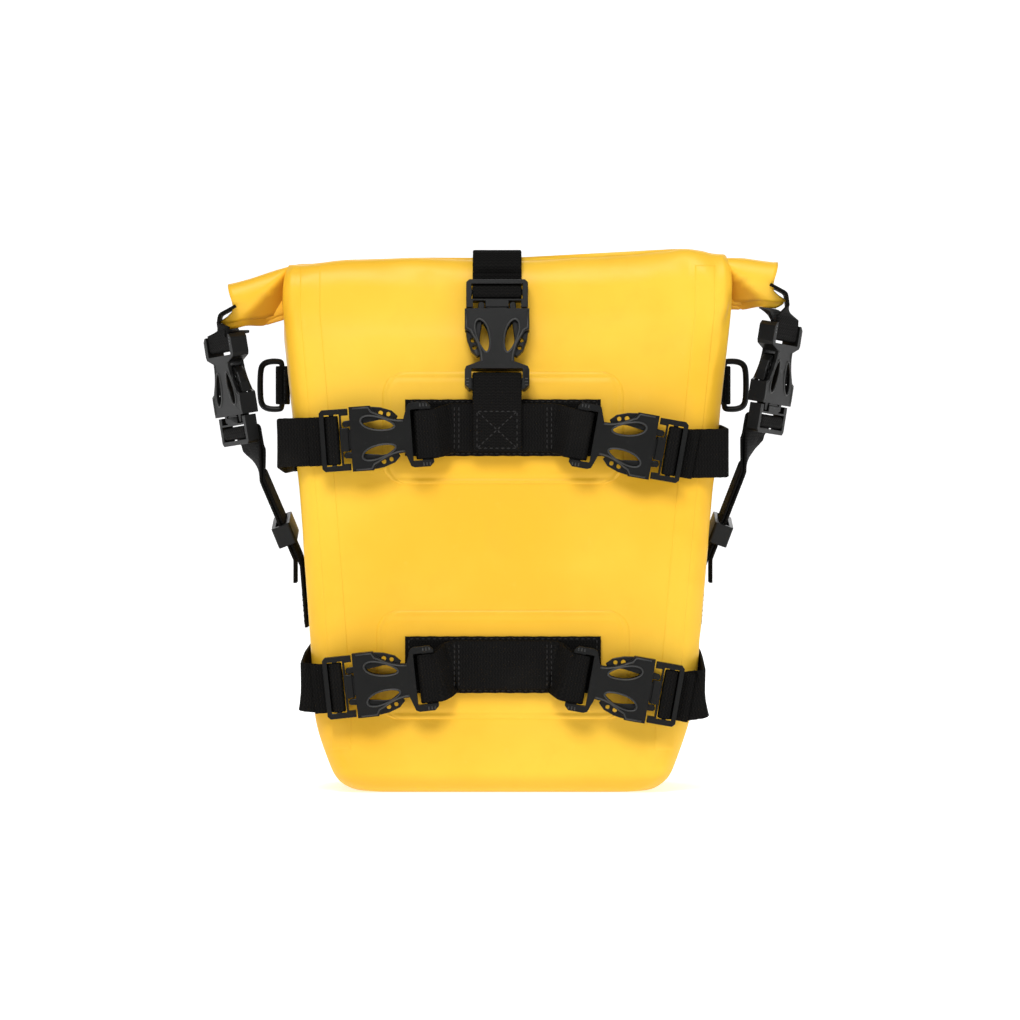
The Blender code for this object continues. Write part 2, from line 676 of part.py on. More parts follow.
def side_closure(label, side):
    """Loop on the roll's end, buckle, adjusting strap down to the side, and its slider."""
    shift = SIDE_LOW[label]
    turn = math.radians(SIDE_BUCKLE_TURN)
    lean = math.radians(SIDE_BUCKLE_LEAN)
    ear = Vector((side * (ROLL_LENGTH / 2 + 2.5 * MM), ROLL_Y, ROLL_Z - ROLL_HEIGHT / 2 + shift))
    u = Vector((side * math.sin(lean), 0, math.cos(lean)))
    w = Vector((side * math.cos(turn), -math.sin(turn), 0))
    end = ear - UP * EAR_LOOP_DROP
    place = frame_matrix(end - u * FEMALE_LENGTH, u, w)
    buckle(f"{label}_side_buckle", place)

    along = Vector((0, -side, 0))
    inner = Vector((side * (ROLL_LENGTH / 2 - 9 * MM), ROLL_Y, ROLL_Z - ROLL_HEIGHT / 2 - 2 * MM))
    outer = Vector((side * (ROLL_LENGTH / 2 + 1.6 * MM), ROLL_Y, ROLL_Z - 2 * MM))
    loop = female_loop(place, 1 * MM)
    corners = [(inner + Vector((side * -6 * MM, 0, 0)), along), (inner, along)] + loop
    corners += [(Vector((outer.x + side * 2.5 * MM, outer.y, ear.z - 2 * MM)), along),
                (outer + UP * 8 * MM, along)]
    ribbon(f"{label}_ear_loop", fillet(corners, WEB_BEND), WEB, WEB_THICK, WEBBING)

    sewn_y = ROLL_Y + 14 * MM
    sewn_x = half_width(SIDE_SEWN_Z) + GAP + WEB_THICK / 2 + 0.3 * MM
    across = Vector((0, -side, 0))
    leave = Vector((side * sewn_x, sewn_y, SIDE_SEWN_Z))
    low_x = half_width(SIDE_SEWN_Z - 34 * MM) + GAP + WEB_THICK / 2 + 0.3 * MM
    foot = Vector((side * low_x, sewn_y, SIDE_SEWN_Z - 34 * MM))
    lace = male_lace(place, 8 * MM)
    standing_end = lace[-1][0]
    strap = (standing_end - leave).normalized()
    out = Vector((side, 0, 0))
    out = (out - strap * out.dot(strap)).normalized()
    middle = leave + (standing_end - leave) * 0.72
    tail_end = leave + strap * 4 * MM + out * LAYER
    square = strap.cross(out)
    corners = [(tail_end - UP * 14 * MM, across), (tail_end, square), (middle + out * LAYER, square)]
    corners += lace[1:] + [(middle, square), (leave, square), (foot, across)]
    ribbon(f"{label}_side_webbing", fillet(corners, WEB_BEND), WEB, WEB_THICK, WEBBING)

    slider(f"{label}_slider", leave + strap * 18 * MM + out * LAYER / 2, strap, out)


def slider(name, middle, strap, out):
    """A plain keeper: a rectangular ring round both layers of the side strap."""
    inner_v = WEB / 2 + 0.7 * MM
    inner_w = WEB_THICK + GAP + 0.9 * MM
    outer = round_box(inner_w + SLIDER_WALL, inner_v + SLIDER_WALL, 1.2 * MM, steps=2)
    hole = round_box(inner_w, inner_v, 0.4 * MM, steps=1)
    piece = add(name, flat_outline(name, [outer, hole], SLIDER_LENGTH), ACETAL)
    across = strap.cross(out)
    piece.matrix_world = Matrix.Translation(middle) @ Matrix((out, across, strap)).transposed().to_4x4()


def ring_and_tab(label, side):
    """Oval ring on the side, swinging on its straight bar inside a sewn webbing tab."""
    inner = TAB_WEB + 2 * GAP + 0.8 * MM
    half = (inner + RING_WIRE) / 2
    bar_x = half_width(RING_Z + half) + RING_WIRE / 2 + 0.6 * MM
    curve = bpy.data.curves.new(f"{label}_ring", "CURVE")
    curve.dimensions = "3D"
    curve.bevel_depth = RING_WIRE / 2
    curve.bevel_resolution = 2
    spline = curve.splines.new("POLY")
    bow = 5.5 * MM
    points = [(0, -half + 1.2 * MM), (0, half - 1.2 * MM), (1.2 * MM, half)]
    for k in range(6):
        angle = math.radians(90 - 180 * k / 5)
        height = (half - bow) if angle > 0 else -(half - bow)
        points.append((RING_REACH - bow + bow * math.cos(angle), height + bow * math.sin(angle)))
    points.append((1.2 * MM, -half))
    spline.points.add(len(points) - 1)
    for point, (x, z) in zip(spline.points, points):
        point.co = (side * x, 0, z, 1)
    spline.use_cyclic_u = True
    ring = bpy.data.objects.new(f"{label}_ring", curve)
    BAG.objects.link(ring)
    curve.materials.append(ACETAL)
    ring.location = (side * bar_x, RING_Y, RING_Z)

    wrap = RING_WIRE / 2 + GAP + WEB_THICK / 2
    near = half_width(RING_Z + TAB_WEB / 2) + GAP + WEB_THICK / 2
    corners = [(Vector((side * near, RING_Y + 16 * MM, RING_Z)), UP),
               (Vector((side * near, RING_Y + wrap + 2.4 * MM, RING_Z)), UP)]
    for k in range(7):
        angle = math.radians(100 - 200 * k / 6)
        corners.append((Vector((side * (bar_x + wrap * math.cos(angle)),
                                RING_Y + wrap * math.sin(angle), RING_Z)), UP))
    corners += [(Vector((side * near, RING_Y - wrap - 2.4 * MM, RING_Z)), UP),
                (Vector((side * near, RING_Y - 16 * MM, RING_Z)), UP)]
    ribbon(f"{label}_ring_tab", corners, TAB_WEB, WEB_THICK, WEBBING)


# ---------------------------------------------------------------- assembly

panel("front_panel", front_y, -1)
panel("back_panel", back_y, 1)
gusset()
rolled_mouth()
back_board()
patch("upper_patch", UPPER_PATCH_WIDTH, UPPER_PATCH_HEIGHT, UPPER_STRAP_Z)
patch("lower_patch", LOWER_PATCH_WIDTH, LOWER_PATCH_HEIGHT, LOWER_STRAP_Z)
UPPER_LEG = front_strap("upper", UPPER_STRAP_Z, UPPER_WRAP_Z, UPPER_SLACK, 36 * MM, 3 * MM, (4, 10))
front_strap("lower", LOWER_STRAP_Z, LOWER_WRAP_Z, LOWER_SLACK, 34 * MM, 6 * MM, (6, 10))
top_strap(UPPER_LEG)
for keeper, keeper_side in (("left_back_keeper", -1), ("right_back_keeper", 1)):
    back_keeper(keeper, keeper_side * KEEPER_X)
for side_label, side_sign in (("left", -1), ("right", 1)):
    side_closure(side_label, side_sign)
    ring_and_tab(side_label, side_sign)
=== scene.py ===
"""Roll-top tail bag, put together in the order that it is made: bag, welds, roll, webbing, buckles."""
import json
import math

import bmesh
import bpy
from mathutils import Matrix, Vector, noise
from mathutils.bvhtree import BVHTree


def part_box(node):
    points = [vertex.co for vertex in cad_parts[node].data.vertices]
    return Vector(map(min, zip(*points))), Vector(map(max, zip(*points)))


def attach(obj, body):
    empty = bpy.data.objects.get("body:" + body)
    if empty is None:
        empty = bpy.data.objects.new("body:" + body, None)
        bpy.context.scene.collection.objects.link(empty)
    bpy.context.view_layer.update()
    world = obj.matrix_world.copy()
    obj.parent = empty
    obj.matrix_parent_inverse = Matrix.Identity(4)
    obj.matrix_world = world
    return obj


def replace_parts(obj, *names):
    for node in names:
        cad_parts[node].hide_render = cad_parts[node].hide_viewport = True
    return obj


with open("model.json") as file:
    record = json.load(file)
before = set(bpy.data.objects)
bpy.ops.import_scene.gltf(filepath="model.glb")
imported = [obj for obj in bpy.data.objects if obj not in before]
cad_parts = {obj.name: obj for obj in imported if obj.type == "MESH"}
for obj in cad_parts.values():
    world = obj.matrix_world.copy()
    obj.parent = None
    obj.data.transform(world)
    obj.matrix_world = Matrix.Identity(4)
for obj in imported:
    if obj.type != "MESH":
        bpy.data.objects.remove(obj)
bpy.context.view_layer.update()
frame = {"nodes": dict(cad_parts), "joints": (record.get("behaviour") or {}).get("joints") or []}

# ------------------------------------------------------------------ studio
# A white floor that sweeps up behind, one broad soft light over the camera and two fills.
# The camera looks almost level at the front through a long lens.

MM = 0.001
front_low, front_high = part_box("front_panel")
look_at = Vector((3.6 * MM, front_low.y, 145 * MM))
VIEW_WIDTH = 0.521                  # metres across the frame at the front of the bag
VIEW_DOWN = math.radians(1.0)
camera_data = bpy.data.cameras.new("camera")
camera_data.lens = 200
camera_data.sensor_width = 36
camera_data.clip_end = 50
camera = bpy.data.objects.new("camera", camera_data)
bpy.context.scene.collection.objects.link(camera)
distance = VIEW_WIDTH / camera_data.sensor_width * camera_data.lens
camera.location = look_at + Vector((0, -distance, distance * math.tan(VIEW_DOWN)))
camera.rotation_euler = (look_at - camera.location).to_track_quat("-Z", "Y").to_euler()
bpy.context.scene.camera = camera
bpy.context.scene.view_settings.view_transform = "Standard"


BAG_MIDDLE = Vector((0, 0, 0.13))


def soft_light(name, place, size, power):
    """A square area light that faces the bag."""
    data = bpy.data.lights.new(name, "AREA")
    data.size = size
    data.energy = power
    light = bpy.data.objects.new(name, data)
    light.location = place
    light.rotation_euler = (BAG_MIDDLE - light.location).to_track_quat("-Z", "Y").to_euler()
    bpy.context.scene.collection.objects.link(light)


soft_light("key", Vector((-0.25, -1.7, 1.65)), 0.9, 30)
soft_light("fill", Vector((1.5, -1.2, 0.8)), 1.2, 2)
soft_light("rim", Vector((0.2, 1.5, 1.4)), 1.2, 10)

world = bpy.data.worlds.new("studio")
world.use_nodes = True
world.node_tree.nodes["Background"].inputs["Color"].default_value = (1, 1, 1, 1)
world.node_tree.nodes["Background"].inputs["Strength"].default_value = 0.26
bpy.context.scene.world = world


class Socket:
    """A shader value that Python's arithmetic adds Math nodes to."""

    def __init__(self, paint, link):
        self.paint = paint
        self.link = link

    def maths(self, operation, *others):
        values = dict(enumerate((self, *others)))
        return self.paint.node("ShaderNodeMath", {"operation": operation}, values)

    def __add__(self, other):
        return self.maths("ADD", other)

    __radd__ = __add__

    def __mul__(self, other):
        return self.maths("MULTIPLY", other)

    __rmul__ = __mul__

    def __sub__(self, other):
        return self.maths("SUBTRACT", other)

    def __rsub__(self, other):
        return self * -1 + other

    def sine(self):
        return self.maths("SINE")

    def size(self):
        return self.maths("ABSOLUTE")

    def between(self, low, high):
        """0 below low, 1 above high, and smooth in between."""
        return self.paint.node("ShaderNodeMapRange", {"interpolation_type": "SMOOTHSTEP"},
                               {"Value": self, "From Min": low, "From Max": high})


class Paint:
    """A node material and its Principled shader."""

    def __init__(self, name):
        self.material = bpy.data.materials.new(name)
        self.material.use_nodes = True
        self.nodes = self.material.node_tree.nodes
        self.links = self.material.node_tree.links
        self.shader = self.nodes["Principled BSDF"]

    def node(self, kind, settings=None, values=None, out=0):
        made = self.nodes.new(kind)
        for key, value in (settings or {}).items():
            setattr(made, key, value)
        self.fill(made, values or {})
        return Socket(self, made.outputs[out])

    def fill(self, made, values):
        for key, value in values.items():
            if isinstance(value, Socket):
                self.links.new(value.link, made.inputs[key])
            else:
                made.inputs[key].default_value = value

    def place(self):
        """The point's place in the bag's own frame."""
        return self.node("ShaderNodeTexCoord", out="Object")

    def axes(self, vector):
        return [self.node("ShaderNodeSeparateXYZ", None, {0: vector}, out) for out in range(3)]

    def value(self, name):
        """A number that the mesh carries at each point."""
        return self.node("ShaderNodeAttribute", {"attribute_name": name}, out="Fac")

    def clouds(self, vector, scale, detail=3.0, roughness=0.5):
        return self.node("ShaderNodeTexNoise", None,
                         {"Vector": vector, "Scale": scale, "Detail": detail, "Roughness": roughness})

    def mix(self, amount, first, second):
        """A colour between two, by an amount from 0 to 1."""
        return self.node("ShaderNodeMix", {"data_type": "RGBA"}, {0: amount, 6: first, 7: second}, 2)

    def relief(self, height, strength, depth, under=None):
        values = {"Height": height, "Strength": strength, "Distance": depth}
        if under:
            values["Normal"] = under
        return self.node("ShaderNodeBump", None, values)

    def surface(self, **values):
        self.fill(self.shader, {key.replace("_", " "): value for key, value in values.items()})
        return self.material


floor_paint = Paint("studio_floor")
floor_material = floor_paint.surface(Base_Color=(0.95, 0.95, 0.95, 1), Roughness=0.8,
                                     Emission_Color=(1, 1, 1, 1), Emission_Strength=0.58)


def skin_over(bm, rows, around=True, ends=True):
    """Faces from each row of points to the next, closed around the rows and over both ends."""
    for low, high in zip(rows, rows[1:]):
        for k in range(len(low) if around else len(low) - 1):
            n = (k + 1) % len(low)
            bm.faces.new((low[k], low[n], high[n], high[k]))
    if ends:
        bm.faces.new(rows[0][::-1])
        bm.faces.new(rows[-1])


def mesh_from(bm, name, outwards=True):
    """The mesh of what was built, with its faces turned outwards."""
    if outwards:
        bmesh.ops.recalc_face_normals(bm, faces=bm.faces)
    mesh = bpy.data.meshes.new(name)
    bm.to_mesh(mesh)
    bm.free()
    return mesh


def floor():
    """A flat floor that turns up into a back wall through a quarter circle."""
    turn_y, wall_y, wall_top, half = 3.6, 4.6, 5.0, 6.0
    profile = [(-4.5, 0.0)]
    for k in range(9):
        angle = math.radians(90 * k / 8)
        profile.append((turn_y + (wall_y - turn_y) * math.sin(angle),
                        (wall_y - turn_y) * (1 - math.cos(angle))))
    profile.append((wall_y, wall_top))
    bm = bmesh.new()
    rows = [[bm.verts.new((x, y, z)) for x in (-half, half)] for y, z in profile]
    skin_over(bm, rows, around=False, ends=False)
    mesh = mesh_from(bm, "studio_floor", outwards=False)
    mesh.materials.append(floor_material)
    mesh.shade_smooth()
    sweep = bpy.data.objects.new("studio_floor", mesh)
    bpy.context.scene.collection.objects.link(sweep)


floor()

# ------------------------------------------------------------------ bag
# One welded envelope of PVC-coated polyester: a front, a back and a band for the sides and base.
# It is stuffed, so the cloth swells between the straps and puckers where they hold it.

BAG_HEIGHT = front_high.z
TOP_HALF = front_high.x
FOOT_HALF = 96 * MM
BASE_CORNER = 26 * MM
DEPTH_HALF = -front_low.y
FRONT_LEAN = 11 * MM
ROLL_LOW, ROLL_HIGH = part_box("rolled_collar")
ROLL_Y = (ROLL_LOW.y + ROLL_HIGH.y) / 2
ROLL_Z = (ROLL_LOW.z + ROLL_HIGH.z) / 2
ROLL_DEEP = (ROLL_HIGH.y - ROLL_LOW.y) / 2
ROLL_TALL = (ROLL_HIGH.z - ROLL_LOW.z) / 2
BACK_STRAIGHT = BAG_HEIGHT - 51 * MM
UPPER_Z = BAG_HEIGHT - 59 * MM      # upper front strap
LOWER_Z = 66 * MM
UPPER_WRAP_Z = UPPER_Z - 11 * MM    # where that strap goes round the sides
LOWER_WRAP_Z = LOWER_Z - 6 * MM
HEM = 12 * MM                       # round of the bottom edge
EDGE = 9 * MM                       # round of the upright edges
WAIST = 3.5 * MM                    # how far the back is drawn in under the roll


def smooth(t):
    t = max(0.0, min(1.0, t))
    return t * t * (3 - 2 * t)


def hump(distance, width):
    """1 at no distance, falling to 0 over a width or two."""
    return math.exp(-(distance / width) ** 2)


def half_width(z):
    """Half of the bag's width at a height."""
    t = max(0.0, min(1.0, z / BAG_HEIGHT))
    half = FOOT_HALF + (TOP_HALF - FOOT_HALF) * t ** 1.25
    if z < BASE_CORNER:
        rise = 1 - z / BASE_CORNER
        half -= BASE_CORNER * (1 - math.sqrt(max(0.0, 1 - rise * rise)))
    return half - 1.0 * MM * smooth(z / (14 * MM)) - 4.4 * MM * hump(z - 18 * MM, 14 * MM)


def front_y(z):
    return -DEPTH_HALF + FRONT_LEAN * max(0.0, z / BAG_HEIGHT) ** 3


def back_y(z):
    closed = ROLL_Y + ROLL_DEEP + 2 * MM
    return DEPTH_HALF + (closed - DEPTH_HALF) * smooth((z - BACK_STRAIGHT) / (BAG_HEIGHT - BACK_STRAIGHT))


# The fold over the roll isn't level: how far it rises, by the place across.
CROWN = [(-115, -1.5), (-103, -0.5), (-80, 1.2), (-50, 2.6), (-14, 1.6), (14, 1.0), (40, 2.4), (60, 4.0),
         (80, 6.0), (91, 7.2), (98, 6.2), (107, 4.6), (115, 4.0)]


def crown_rise(x):
    for (x0, rise0), (x1, rise1) in zip(CROWN, CROWN[1:]):
        if x / MM <= x1:
            return (rise0 + (rise1 - rise0) * smooth((x / MM - x0) / (x1 - x0))) * MM
    return CROWN[-1][1] * MM


FRONT_STEPS = 52
SIDE_STEPS = 18
CORNER_STEPS = 5
EDGE_FLATNESS = 1.45                # over 1 makes the round edge more of a bevel


def flattened(part, power):
    """A cosine or sine with its sign kept, so that a circle turns squarer or flatter."""
    return math.copysign(abs(part) ** power, part)


def body_section(z, half, front, back, edge):
    """Points round the bag at one height: a rectangle with round upright edges."""
    middle = (front + back) / 2
    deep = (back - front) / 2
    edge = min(edge, deep * 0.9, half * 0.9)
    points = []
    for side_x, side_y, start in ((1, 1, 0), (-1, 1, 90), (-1, -1, 180), (1, -1, 270)):
        centre = Vector((side_x * (half - edge), middle + side_y * (deep - edge), z))
        for k in range(CORNER_STEPS + 1):
            angle = math.radians(start + 90 * k / CORNER_STEPS)
            round_off = Vector((flattened(math.cos(angle), EDGE_FLATNESS),
                                flattened(math.sin(angle), EDGE_FLATNESS), 0))
            points.append(centre + edge * round_off)
        steps = FRONT_STEPS if start in (0, 180) else SIDE_STEPS
        span = 2 * (half - edge) if start in (0, 180) else 2 * (deep - edge)
        along = Vector(((-1 if start == 0 else 1) if start in (0, 180) else 0,
                        (-1 if start == 90 else 1) if start in (90, 270) else 0, 0))
        last = points[-1].copy()
        points += [last + along * span * k / steps for k in range(1, steps)]
    return points


def body_rows():
    """Sections of the envelope from the middle of its base to the fold over the roll."""
    rows = []
    for share in (0.25, 0.5, 0.75, 0.92):
        half = (half_width(0) - HEM) * share
        rows.append(body_section(0, half, (front_y(0) + HEM) * share, (back_y(0) - HEM) * share, EDGE))
    for k in range(7):
        angle = math.radians(90 * k / 6)
        z = HEM * (1 - math.cos(angle))
        inset = HEM * (1 - math.sin(angle))
        rows.append(body_section(z, half_width(z), front_y(z) + inset, back_y(z) - inset, EDGE))
    steps = 60
    for k in range(1, steps + 1):
        z = HEM + (BAG_HEIGHT - HEM) * k / steps
        tuck = WAIST * hump(z - BAG_HEIGHT, 5 * MM)
        edge = EDGE - 3 * MM * smooth((z - BACK_STRAIGHT) / (BAG_HEIGHT - BACK_STRAIGHT))
        rows.append(body_section(z, half_width(z), front_y(z), back_y(z) - tuck, edge))
    crown = ROLL_HIGH.z - BAG_HEIGHT
    for k in range(1, 13):
        t = k / 12
        z = BAG_HEIGHT + crown * math.sin(math.radians(90 * t))
        level = (z - BAG_HEIGHT) / crown
        front = front_y(BAG_HEIGHT) + 0.8 * MM * level
        tuck = WAIST * hump(z - BAG_HEIGHT, 5 * MM)
        back = back_y(BAG_HEIGHT) + 0.5 * MM - tuck
        turn = 1 - math.sqrt(max(0.0, 1 - max(0.0, (level - 0.45) / 0.55) ** 2))
        narrow = (back - front) / 2 * turn * 0.92
        half = TOP_HALF - 0.5 * MM - 3.5 * MM * level ** 5
        row = body_section(z, half, front + narrow, back - narrow, 6 * MM - 3 * MM * level)
        rows.append([point + Vector((0, 0, crown_rise(point.x) * level)) for point in row])
    return rows


def body_loft():
    bm = bmesh.new()
    skin_over(bm, [[bm.verts.new(point) for point in row] for row in body_rows()])
    return mesh_from(bm, "bag_body")


def add(name, mesh, material, body="bag"):
    """Show a mesh as one piece that rides on a body."""
    mesh.materials.clear()
    mesh.materials.append(material)
    piece = bpy.data.objects.new(name, mesh)
    bpy.context.scene.collection.objects.link(piece)
    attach(piece, body)
    return piece


RING_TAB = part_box("left_ring_tab")
SIDE_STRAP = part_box("left_side_webbing")
SIDE_SEWN_Z = BAG_HEIGHT - 128 * MM     # where the side strap comes off the bag
SIDE_SEWN_Y = ROLL_Y + 14 * MM
PATCH_HALF = 22 * MM                # half height of the cloth that a front strap holds
# Each strap's height in front and round the sides, and half the length that it holds in front.
STRAP_HOLDS = ((UPPER_Z, UPPER_WRAP_Z, 64 * MM), (LOWER_Z, LOWER_WRAP_Z, 66 * MM))


def held(point):
    """How firmly the straps, base and roll hold the cloth at a point, from 0 to 1."""
    x, y, z = point
    if z > BAG_HEIGHT - 10 * MM or z < 3 * MM:
        return 1.0
    on_front = y < front_y(z) + 5 * MM
    on_back = y > back_y(z) - 5 * MM
    grip = 0.0
    for strap_z, wrap_z, half in STRAP_HOLDS:
        if on_front:
            patch = max(abs(z - strap_z) - PATCH_HALF, abs(x) - half)
            grip = max(grip, 1 - smooth(patch / (9 * MM)))
            grip = max(grip, 0.75 * (1 - smooth((abs(z - strap_z + 7 * MM) - 13 * MM) / (12 * MM))))
        else:
            grip = max(grip, 1 - smooth((abs(z - wrap_z) - 12 * MM) / (8 * MM)))
    if not on_front and not on_back:
        low, high = RING_TAB
        tab = max(abs(z - (low.z + high.z) / 2) - 12 * MM, low.y - y, y - high.y)
        sewn = max(SIDE_STRAP[0].z - z, z - (SIDE_SEWN_Z + 6 * MM), SIDE_STRAP[0].y - y,
                   y - (SIDE_SEWN_Y + 13 * MM))
        grip = max(grip, 1 - smooth(tab / (6 * MM)), 1 - smooth(sewn / (8 * MM)))
    if on_back:
        grip = max(grip, 0.8 * (1 - smooth((z - BACK_STRAIGHT) / (12 * MM))))
        if z > BACK_STRAIGHT - 12 * MM:
            grip = max(grip, 1 - smooth((abs(x + 3 * MM) - 13 * MM) / (14 * MM)))
    return grip


CLOTH_FRAMES = 20
FULLEST = 4.5 * MM                  # the most that the filling pushes the cloth out
SIDEWAYS = 0.12                     # share of the push that goes sideways


def swell(mesh):
    """Cloth pressure pushes the envelope out between the places where it is held."""
    piece = bpy.data.objects.new("swelling", mesh)
    bpy.context.scene.collection.objects.link(piece)
    grip = piece.vertex_groups.new(name="held")
    for vertex in mesh.vertices:
        grip.add([vertex.index], held(vertex.co), "REPLACE")
    cloth = piece.modifiers.new("cloth", "CLOTH")
    cloth.settings.vertex_group_mass = "held"
    cloth.settings.use_pressure = True
    cloth.settings.uniform_pressure_force = 4.0
    cloth.settings.effector_weights.gravity = 0
    cloth.collision_settings.use_collision = False
    cloth.point_cache.frame_start = 1
    cloth.point_cache.frame_end = CLOTH_FRAMES
    for number in range(1, CLOTH_FRAMES + 1):
        bpy.context.scene.frame_set(number)
    graph = bpy.context.evaluated_depsgraph_get()
    swollen = bpy.data.meshes.new_from_object(piece.evaluated_get(graph))
    bpy.context.scene.frame_set(1)
    bpy.data.objects.remove(piece)
    return swollen


def limit(rest, moved, most):
    """Cap how far the cloth went, least of all sideways, and keep it where it is held."""
    for before, after in zip(rest.vertices, moved.vertices):
        shift = after.co - before.co
        shift.x *= SIDEWAYS
        if shift.length > most:
            shift *= most / shift.length
        after.co = before.co + shift * (1 - held(before.co))


# Folds in the front near the mouth: points across and up, then the width and depth of each.
FOLDS = [
    ([(91, 272), (96, 262), (99, 246), (99, 208)], 2.6, -1.3),
    ([(100, 268), (108, 252), (117, 236)], 4.0, 0.9),
    ([(117, 250), (108, 234), (102, 222)], 4.5, -1.1),
    ([(-97, 262), (-103, 246), (-104, 228)], 3.5, -0.6),
    ([(-60, 268), (-30, 262), (-14, 250)], 5.0, -0.5),
    ([(14, 262), (42, 258), (72, 264)], 6.0, 0.5),
    ([(-84, 160), (-70, 154), (-46, 152)], 4.0, 0.5),
    ([(88, 158), (74, 150), (58, 149)], 4.0, 0.6),
    ([(92, 40), (74, 34), (50, 32)], 5.0, -0.6),
    ([(-92, 44), (-80, 36), (-58, 33)], 5.0, -0.6),
]


def fold_depth(x, z):
    depth = 0.0
    for line, width, high in FOLDS:
        for (x0, z0), (x1, z1) in zip(line, line[1:]):
            run = Vector((x1 - x0, z1 - z0))
            offset = Vector((x / MM - x0, z / MM - z0))
            share = max(0.0, min(1.0, offset.dot(run) / run.length_squared))
            gap = (offset - run * share).length
            value = high * MM * hump(gap, width)
            if abs(value) > abs(depth):
                depth = value
    return depth


def lean_right(x, z):
    """How far the front leans to the right of the foot, most on its right side."""
    lean = 1.2 * smooth((z - 24 * MM) / (40 * MM)) + 2.0 * max(0.0, z / BAG_HEIGHT) ** 1.3
    return lean * MM * (0.7 + 0.35 * max(-1.0, min(1.0, x / 0.1)))


def crease(mesh):
    """Slack, dents and folds that the welds and the packing leave in the cloth."""
    for vertex in mesh.vertices:
        point = vertex.co
        free = 1 - held(point)
        slow = noise.noise(Vector((point.x * 16, point.y * 16, point.z * 10)))
        pull = noise.noise(Vector((point.x * 55 + 7, point.y * 55, point.z * 20)))
        near_top = smooth((point.z - 205 * MM) / (35 * MM))
        depth = 1.1 * MM * slow * max(free, 0.25) + 0.55 * MM * pull * max(near_top, 0.3 * free)
        if point.y < front_y(point.z) + 6 * MM:
            depth += fold_depth(point.x, point.z)
            depth -= 0.8 * MM * hump(abs(point.x) - half_width(point.z) + EDGE, 1.7 * MM)
        if point.z < 2 * MM:
            depth = 0
        ahead = smooth((-point.y - 16 * MM) / (24 * MM))
        facet = smooth((point.x - 96 * MM) / (15 * MM)) * smooth((point.z - 172 * MM) / (24 * MM))
        facet *= 4.5 * MM * ahead * (1 - smooth((point.z - 232 * MM) / (22 * MM)))
        askew = ahead * lean_right(point.x, point.z)
        vertex.co = point + vertex.normal * depth + Vector((askew, facet, 0))


tarpaulin = Paint("tarpaulin")
cloth_place = tarpaulin.place()
cloth_x, cloth_y, cloth_z = tarpaulin.axes(cloth_place)
thread_turn = 2 * math.pi / (1.1 * MM)
weave = ((cloth_x + cloth_y) * thread_turn).sine() * (cloth_z * thread_turn).sine()
tone = tarpaulin.clouds(cloth_place, 9.0, 4.0)
smudge = tarpaulin.clouds(cloth_place, 34.0, 6.0, 0.62).between(0.5, 0.78)
scuff = tarpaulin.clouds(cloth_place, 210.0, 3.0, 0.7).between(0.62, 0.8)
yellow = tarpaulin.mix(tone.between(0.3, 0.7), (0.93, 0.50, 0.022, 1), (1.0, 0.60, 0.045, 1))
yellow = tarpaulin.mix(smudge * 0.22, yellow, (0.85, 0.41, 0.018, 1))
yellow = tarpaulin.mix(scuff * 0.10, yellow, (1.0, 0.72, 0.16, 1))
# Painted shade: the tuck under each ear is painted a darker amber where the fold's shade falls.
tuck_painted_shade = tarpaulin.value("tuck_painted_shade")
yellow = tarpaulin.mix(tuck_painted_shade * 0.85, yellow, (0.56, 0.25, 0.018, 1))
# Painted shade: the lowest 12 mm of the cloth is painted darker orange, where the bottom edge turns
# under.
yellow = tarpaulin.mix((12 * MM - cloth_z).between(0, 8 * MM) * 0.55, yellow, (0.76, 0.37, 0.02, 1))
emboss = tarpaulin.relief(weave, 0.10, 0.05 * MM)
emboss = tarpaulin.relief(tarpaulin.clouds(cloth_place, 70.0, 4.0, 0.6), 0.22, 0.9 * MM, emboss)
emboss = tarpaulin.relief(tarpaulin.clouds(cloth_place, 1100.0, 2.0), 0.12, 0.12 * MM, emboss)
TARPAULIN = tarpaulin.surface(Base_Color=yellow, Roughness=0.36 + 0.14 * tone + 0.12 * smudge,
                              Normal=emboss, IOR=1.45,
                              Specular_IOR_Level=0.38)

flat_body = body_loft()
body_mesh = swell(flat_body.copy())
limit(flat_body, body_mesh, FULLEST)
crease(body_mesh)
body_mesh.shade_smooth()
bag_body = add("bag_body", body_mesh, TARPAULIN)
refine = bag_body.modifiers.new("refine", "SUBSURF")
refine.levels = 1
refine.render_levels = 1
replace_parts(bag_body, "front_panel", "back_panel", "gusset")

# ------------------------------------------------------------------ welded seams and patches
# The side band laps on to the front and the back and is welded in a strip beside each edge.
# A second layer is welded on behind each pair of buckles, with a pressed line round its border.

skin = BVHTree.FromObject(bag_body, bpy.context.evaluated_depsgraph_get())


def on_body(x, z, side, lift):
    """A point on the front (side -1) or back (side 1) of the cloth, lifted off it."""
    hit = skin.ray_cast(Vector((x, side * 0.3, z)), Vector((0, -side, 0)))[0]
    return hit + Vector((0, side * lift, 0))


# Height of a welded layer by the distance from its edge: a step, then a pressed line.
PATCH_BORDER = [(0, -0.3), (0.3, 0.3), (2.2, 0.36), (2.8, 0.14), (3.8, 0.14), (4.4, 0.36)]
LAP_BORDER = [(0, -0.3), (0.35, 0.22), (0.9, 0.3), (2.0, 0.26)]


def across_layer(half, border):
    """Places across a layer, close together at its borders, with the height at each."""
    near = [(-half + gap * MM, height * MM) for gap, height in border]
    inner = half - border[-1][0] * MM
    count = max(2, int(inner * 2 / (2.2 * MM)))
    middle = [(-inner + 2 * inner * k / count, border[-1][1] * MM) for k in range(1, count)]
    return near + middle + [(-place, height) for place, height in reversed(near)]


